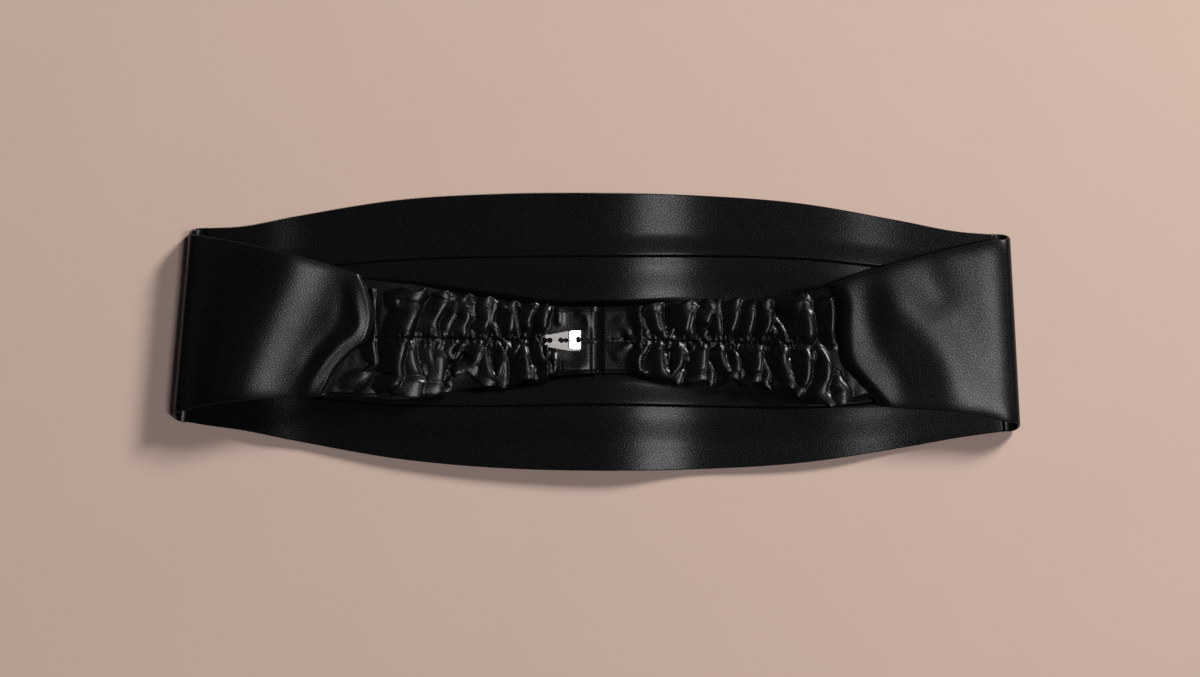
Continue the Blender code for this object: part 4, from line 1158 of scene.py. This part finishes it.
def make_gathers(half, satin, plain):
    """One gathered half of the strap: the shirred layer over the smoother layer behind it."""
    side = half.wing.side
    inner = (LEFT_END_X[0] if side < 0 else RIGHT_END_X[1]) + side * SEAM_GAP
    top, bottom = edge_line(half.top), edge_line(half.bottom)
    reach = np.linspace(-1, 1, 2 * steps(HALF_STRAP, GATHER_STEP) + 1)[None, :]
    out = np.abs(reach)
    far = STRAP_FAR * side
    stitch = STRAP_STITCH(far)
    rim = stitch + np.where(reach > 0, top(far) - stitch, stitch - bottom(far)) * reach
    outer = wing_end_x(half.wing, rim) + side * WING_LAP
    columns = steps(abs(outer.mean() - inner), GATHER_STEP)
    x = inner + (outer - inner) * np.linspace(0, 1, columns + 1)[:, None]
    stitch = STRAP_STITCH(x)
    y = stitch + np.where(reach > 0, top(x) - stitch, stitch - bottom(x)) * reach
    lift = fold_lift(x, y, half.folds, smooth((out - HELD_FROM) / HELD_OVER))
    lean = FOLD_LEAN * lift
    puckers = fold_lift(x, y, pucker_folds(side, inner / MM + side * 2, side * PUCKER_FAR_MM))
    groove = STITCH_GROOVE * np.exp(-(((y - stitch) / STITCH_GROOVE_WIDTH) ** 2))
    rolled = END_ROLL_DROP * (1 - smooth((1 - out) * HALF_STRAP / END_ROLL * EDGE_ROLL_SPREAD))
    rolled = rolled * (1 - smooth(lift / EDGE_ROLL_LIFT))
    free = smooth(side * (wing_end_x(half.wing, y) - x) / GATHER_FADE)
    lift = lift + puckers + GATHER_WAVE_HEIGHT * crumple(x, y, GATHER_WAVES)
    lift += ridge_lift(x, y, SWELLS)
    z = STRAP_UNDER(x) + STRAP_WALL - GATHER_SATIN / 2 + (lift - groove - rolled) * free
    middle = np.stack([x + lean * free, y, z], axis=-1)
    if side < 0:
        middle = middle[::-1]
    piece = dress(shell(f"{half.node}_cloth", middle, GATHER_SATIN, satin), [half.node])

    back_top, back_bottom = edge(half.back, "top_mm"), edge(half.back, "bottom_mm")
    share = np.linspace(0, 1, BACK_ROWS + 1)[None, :]
    x = inner + (side * BACK_FAR - inner) * np.linspace(0, 1, BACK_COLUMNS + 1)[:, None] + 0 * share
    y = back_bottom(x) + (back_top(x) - back_bottom(x)) * share
    droop = BACK_DROOP * np.clip((STRAP_UNDER(x) - BACK_DROOP_FROM) / BACK_DROOP, 0, 1)
    beyond = np.maximum(np.abs(2 * share - 1) - BACK_DROOP_START, 0) / (1 - BACK_DROOP_START)
    middle = np.stack([x, y, STRAP_UNDER(x) + BACK_WALL / 2 - droop * beyond**2], axis=-1)
    if side < 0:
        middle = middle[::-1]
    piece = dress(shell(f"{half.node}_back", middle, BACK_WALL, plain), [half.node])


def dimpled(x, y, dimples):
    total = np.zeros_like(x)
    for row in dimples:
        away = np.hypot(x / MM - row.x_mm, y / MM - row.y_mm) / row.width_mm
        total += row.height_mm * MM * np.exp(-(away**2))
    return total


def make_strap_ends(satin):
    """The two flat ends of the strap: soft, rolled at their edges, dimpled by their stitching."""
    for end in (LEFT_END, RIGHT_END):
        start, stop = end.span
        x = np.linspace(start, stop, steps(stop - start, END_STEP) + 1)[:, None]
        share = np.linspace(0, 1, steps(END_HEIGHT, END_STEP) + 1)[None, :]
        y = STRAP_BOTTOM(x) + (STRAP_TOP(x) - STRAP_BOTTOM(x)) * share
        x = x + 0 * y
        inside = np.minimum(STRAP_TOP(x) - y, y - STRAP_BOTTOM(x))
        z = end.under + STRAP_WALL / 2 + dimpled(x, y, end.dimples) + ridge_lift(x, y, end.creases)
        z -= END_ROLL_DROP * (1 - smooth(inside / END_ROLL)) * TAB_ROLL_SHARE
        z -= TAB_GROOVE * np.exp(-(((y - STRAP_STITCH(x)) / TAB_GROOVE_WIDTH) ** 2))
        folds = fold_lift(x, y, end.folds)
        if end is LEFT_END:
            z += folds * (1 - np.exp(-(((y - CLIP_MIDDLE_Y) / CLIP_CLEARING) ** 4)))
            z -= TAB_CREASE * np.exp(-(((x - TAB_CREASE_X) / TAB_CREASE_WIDTH) ** 2))
            z -= TAB_TIP_DROP * (1 - smooth((stop - x) / TAB_TIP_ROLL))
        else:
            z += folds * smooth((x - RIGHT_FOLDS_FROM) / RIGHT_FOLDS_OVER)
            z -= RIGHT_END_LOW * (1 - smooth((x - RIGHT_END_STEP) / RIGHT_END_STEP_WIDTH + 0.5))
            z -= RIGHT_END_TILT * np.maximum(RIGHT_END_STEP - x, 0)
            z = np.maximum(z, end.under + RIGHT_END_LEAST)
        middle = np.stack([x, y, z], axis=-1)
        piece = dress(shell(f"{end.node}_cloth", middle, TAB_SATIN, satin), [end.node])


def make_stitches(thread):
    """Running stitches along the middle of the flat strap ends, sunk into the satin."""
    stitches = bmesh.new()
    for end in (LEFT_END, RIGHT_END):
        start, stop = end.span
        x = (start if end is LEFT_END else RIGHT_END_STEP) + STITCH_PITCH
        while x < stop - STITCH_PITCH / 2:
            place = Vector((x, float(STRAP_STITCH(x)), end.under + THREAD_HEIGHT))
            made = bmesh.ops.create_uvsphere(stitches, u_segments=10, v_segments=6, radius=THREAD_RADIUS)
            for vert in made["verts"]:
                vert.co.x += math.copysign(STITCH_LENGTH / 2 - THREAD_RADIUS, vert.co.x)
                vert.co += place
            x += STITCH_PITCH
    obj = bmesh_object("strap_stitches", stitches)
    obj.data.materials.append(thread)
    obj.data.shade_smooth()
    dress(obj, [])


# The clip


def arc(middle_u, middle_v, radius, start_degrees, end_degrees, count):
    angles = np.radians(np.linspace(start_degrees, end_degrees, count + 1))
    return [(middle_u + radius * math.cos(a), middle_v + radius * math.sin(a)) for a in angles]


def rounded_box(u, v, radius):
    """A rectangle with round corners, anticlockwise."""
    corners = [(u[1], v[0], -90), (u[1], v[1], 0), (u[0], v[1], 90), (u[0], v[0], 180)]
    points = []
    for corner_u, corner_v, angle in corners:
        middle_u = corner_u - math.copysign(radius, corner_u - sum(u) / 2)
        middle_v = corner_v - math.copysign(radius, corner_v - sum(v) / 2)
        points += arc(middle_u, middle_v, radius, angle, angle + 90, CORNER_STEPS)
    return points


def extruded(name, ring, run):
    """A prism from a ring of points u, v, w in the clip's own frame, and the vector it is drawn along."""
    base = LEFT_END_UNDERSIDE + STRAP_WALL + SEAM_GAP
    shape = bmesh.new()
    verts = [shape.verts.new((CLIP_LEFT_X + u, CLIP_MIDDLE_Y + v, base + w)) for u, v, w in ring]
    face = shape.faces.new(verts)
    drawn = bmesh.ops.extrude_face_region(shape, geom=[face])["geom"]
    moved = [item for item in drawn if isinstance(item, bmesh.types.BMVert)]
    bmesh.ops.translate(shape, verts=moved, vec=run)
    bmesh.ops.recalc_face_normals(shape, faces=shape.faces)
    return bmesh_object(name, shape)


def plate(name, outline, bottom, top):
    return extruded(name, [(u, v, bottom) for u, v in outline], (0, 0, top - bottom))


def combine(target, tool, operation):
    """Applies a Boolean with the tool to the target, and removes the tool."""
    boolean = target.modifiers.new(tool.name, "BOOLEAN")
    boolean.operation = operation
    boolean.object = tool
    baked = bpy.data.meshes.new_from_object(target.evaluated_get(bpy.context.evaluated_depsgraph_get()))
    target.modifiers.clear()
    target.data = baked
    bpy.data.objects.remove(tool)


def plate_outline(right):
    """The plate: a round-tipped fork at the left, sides that widen, and a square right end."""
    prong_v = PRONG_SPACING / 2
    mouth = math.degrees(math.asin(FORK_MOUTH / 2 / FORK_RADIUS))
    outline = arc(PRONG_RADIUS, -prong_v, PRONG_RADIUS, 60, 250, 16)
    outline += [(CLIP_WAIST, CLIP_NARROW[0]), (CLIP_SHOULDER, CLIP_WIDE[0]), (right, CLIP_WIDE[0])]
    outline += [(right, CLIP_WIDE[1]), (CLIP_SHOULDER, CLIP_WIDE[1]), (CLIP_WAIST, CLIP_NARROW[1])]
    outline += arc(PRONG_RADIUS, prong_v, PRONG_RADIUS, 110, 300, 16)
    outline += arc(FORK_U, 0, FORK_RADIUS, 180 - mouth, mouth - 180, 24)
    return outline


def bone_outline():
    """A slot of two circles joined by a neck."""
    neck = BONE_NECK / 2
    outline = []
    for (middle, radius), start in ((BONE_LARGE, 0), (BONE_SMALL, 180)):
        lean = math.degrees(math.asin(neck / radius))
        outline += arc(middle, 0, radius, start + lean, start + 360 - lean, 28)
    return outline


def lip_profile(bend):
    """The folded end seen from its side, as u, w: the lip, the bend and a little of the plate."""
    middle = CLIP_SHEET + CLIP_BEND_GAP / 2
    top = 2 * middle
    outline = [(CLIP_SHOULDER, top - CLIP_SHEET + LIP_RISE), (CLIP_SHOULDER, top + LIP_RISE)]
    outline += arc(bend, middle, middle, 90, -90, 20)
    outline += [(bend - CLIP_SHEET, 0), (bend - CLIP_SHEET, CLIP_SHEET)]
    outline += arc(bend, middle, CLIP_BEND_GAP / 2, -90, 90, 12)
    return outline


def make_clip(nickel):
    """The hook clip: a flat plate whose right end is folded back over it as a lip."""
    below, above = -CLIP_SHEET, 4 * CLIP_SHEET + CLIP_BEND_GAP
    bend = CLIP_LENGTH - CLIP_SHEET - CLIP_BEND_GAP / 2
    side = [(u, LIP_V[0], w) for u, w in lip_profile(bend)]
    clip = extruded("hook_clip_metal", side, (0, LIP_V[1] - LIP_V[0], 0))
    corners = rounded_box((CLIP_SHOULDER, CLIP_LENGTH), LIP_V, LIP_CORNER)
    combine(clip, plate("lip_corners", corners, below, above), "INTERSECT")
    combine(clip, plate("plate", plate_outline(bend), 0, CLIP_SHEET), "UNION")
    combine(clip, plate("bone_slot", bone_outline(), below, above), "DIFFERENCE")
    notch = rounded_box(LIP_NOTCH_U, LIP_NOTCH_V, LIP_NOTCH_CORNER)
    combine(clip, plate("lip_notch", notch, below, above), "DIFFERENCE")
    mouth = rounded_box((sum(LIP_NOTCH_U) / 2, CLIP_LENGTH + CLIP_SHEET), LIP_MOUTH_V, LIP_CORNER / 4)
    combine(clip, plate("lip_mouth", mouth, below, above), "DIFFERENCE")
    bevel = clip.modifiers.new("pressed_edges", "BEVEL")
    bevel.width = CLIP_EDGE
    bevel.segments = 2
    bevel.limit_method = "ANGLE"
    bevel.angle_limit = math.radians(BEVEL_DEGREES)
    clip.data.materials.append(nickel)
    clip.data.shade_smooth()
    clip.data.set_sharp_from_angle(angle=math.radians(SHARP_DEGREES))
    dress(clip, ["hook_clip"])


# The studio


def make_floor():
    corners = [(-1, -1), (1, -1), (1, 1), (-1, 1)]
    points = [(x * FLOOR_REACH, y * FLOOR_REACH, 0) for x, y in corners]
    mesh_object("floor", points, [(0, 1, 2, 3)], floor_material())


def make_lights():
    for row in LIGHTS:
        light = bpy.data.lights.new(row.name, "AREA")
        light.shape = "RECTANGLE"
        light.size, light.size_y = row.size
        light.energy = row.power
        light.color = row.colour
        obj = add_object(row.name, light)
        obj.location = row.place
        obj.rotation_mode = "QUATERNION"
        obj.rotation_quaternion = (-Vector(row.place)).to_track_quat("-Z", "Y")
    world = bpy.data.worlds.new("studio")
    world.use_nodes = True
    set_inputs(world.node_tree.nodes["Background"], {"Color": SKY, "Strength": SKY_STRENGTH})
    bpy.context.scene.world = world
    bpy.context.scene.view_settings.view_transform = "Standard"


def make_camera():
    camera = bpy.data.cameras.new("camera")
    camera.lens = LENS
    camera.sensor_width = SENSOR
    camera.clip_end = 50
    obj = add_object("camera", camera)
    obj.location = (*FRAME_MIDDLE, FRAME_WIDTH * LENS / SENSOR)
    bpy.context.scene.camera = obj


def main():
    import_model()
    satin = satin_material(PLAIN)
    gathered = satin_material(SHADED_GATHERED)
    nickel = nickel_material()
    make_front(satin)
    for wing in (LEFT, RIGHT):
        make_wing(wing, satin)
    for half in GATHER_HALVES:
        make_gathers(half, gathered, satin)
    make_strap_ends(gathered)
    make_stitches(thread_material())
    make_clip(nickel)
    make_floor()
    make_lights()
    make_camera()


main()
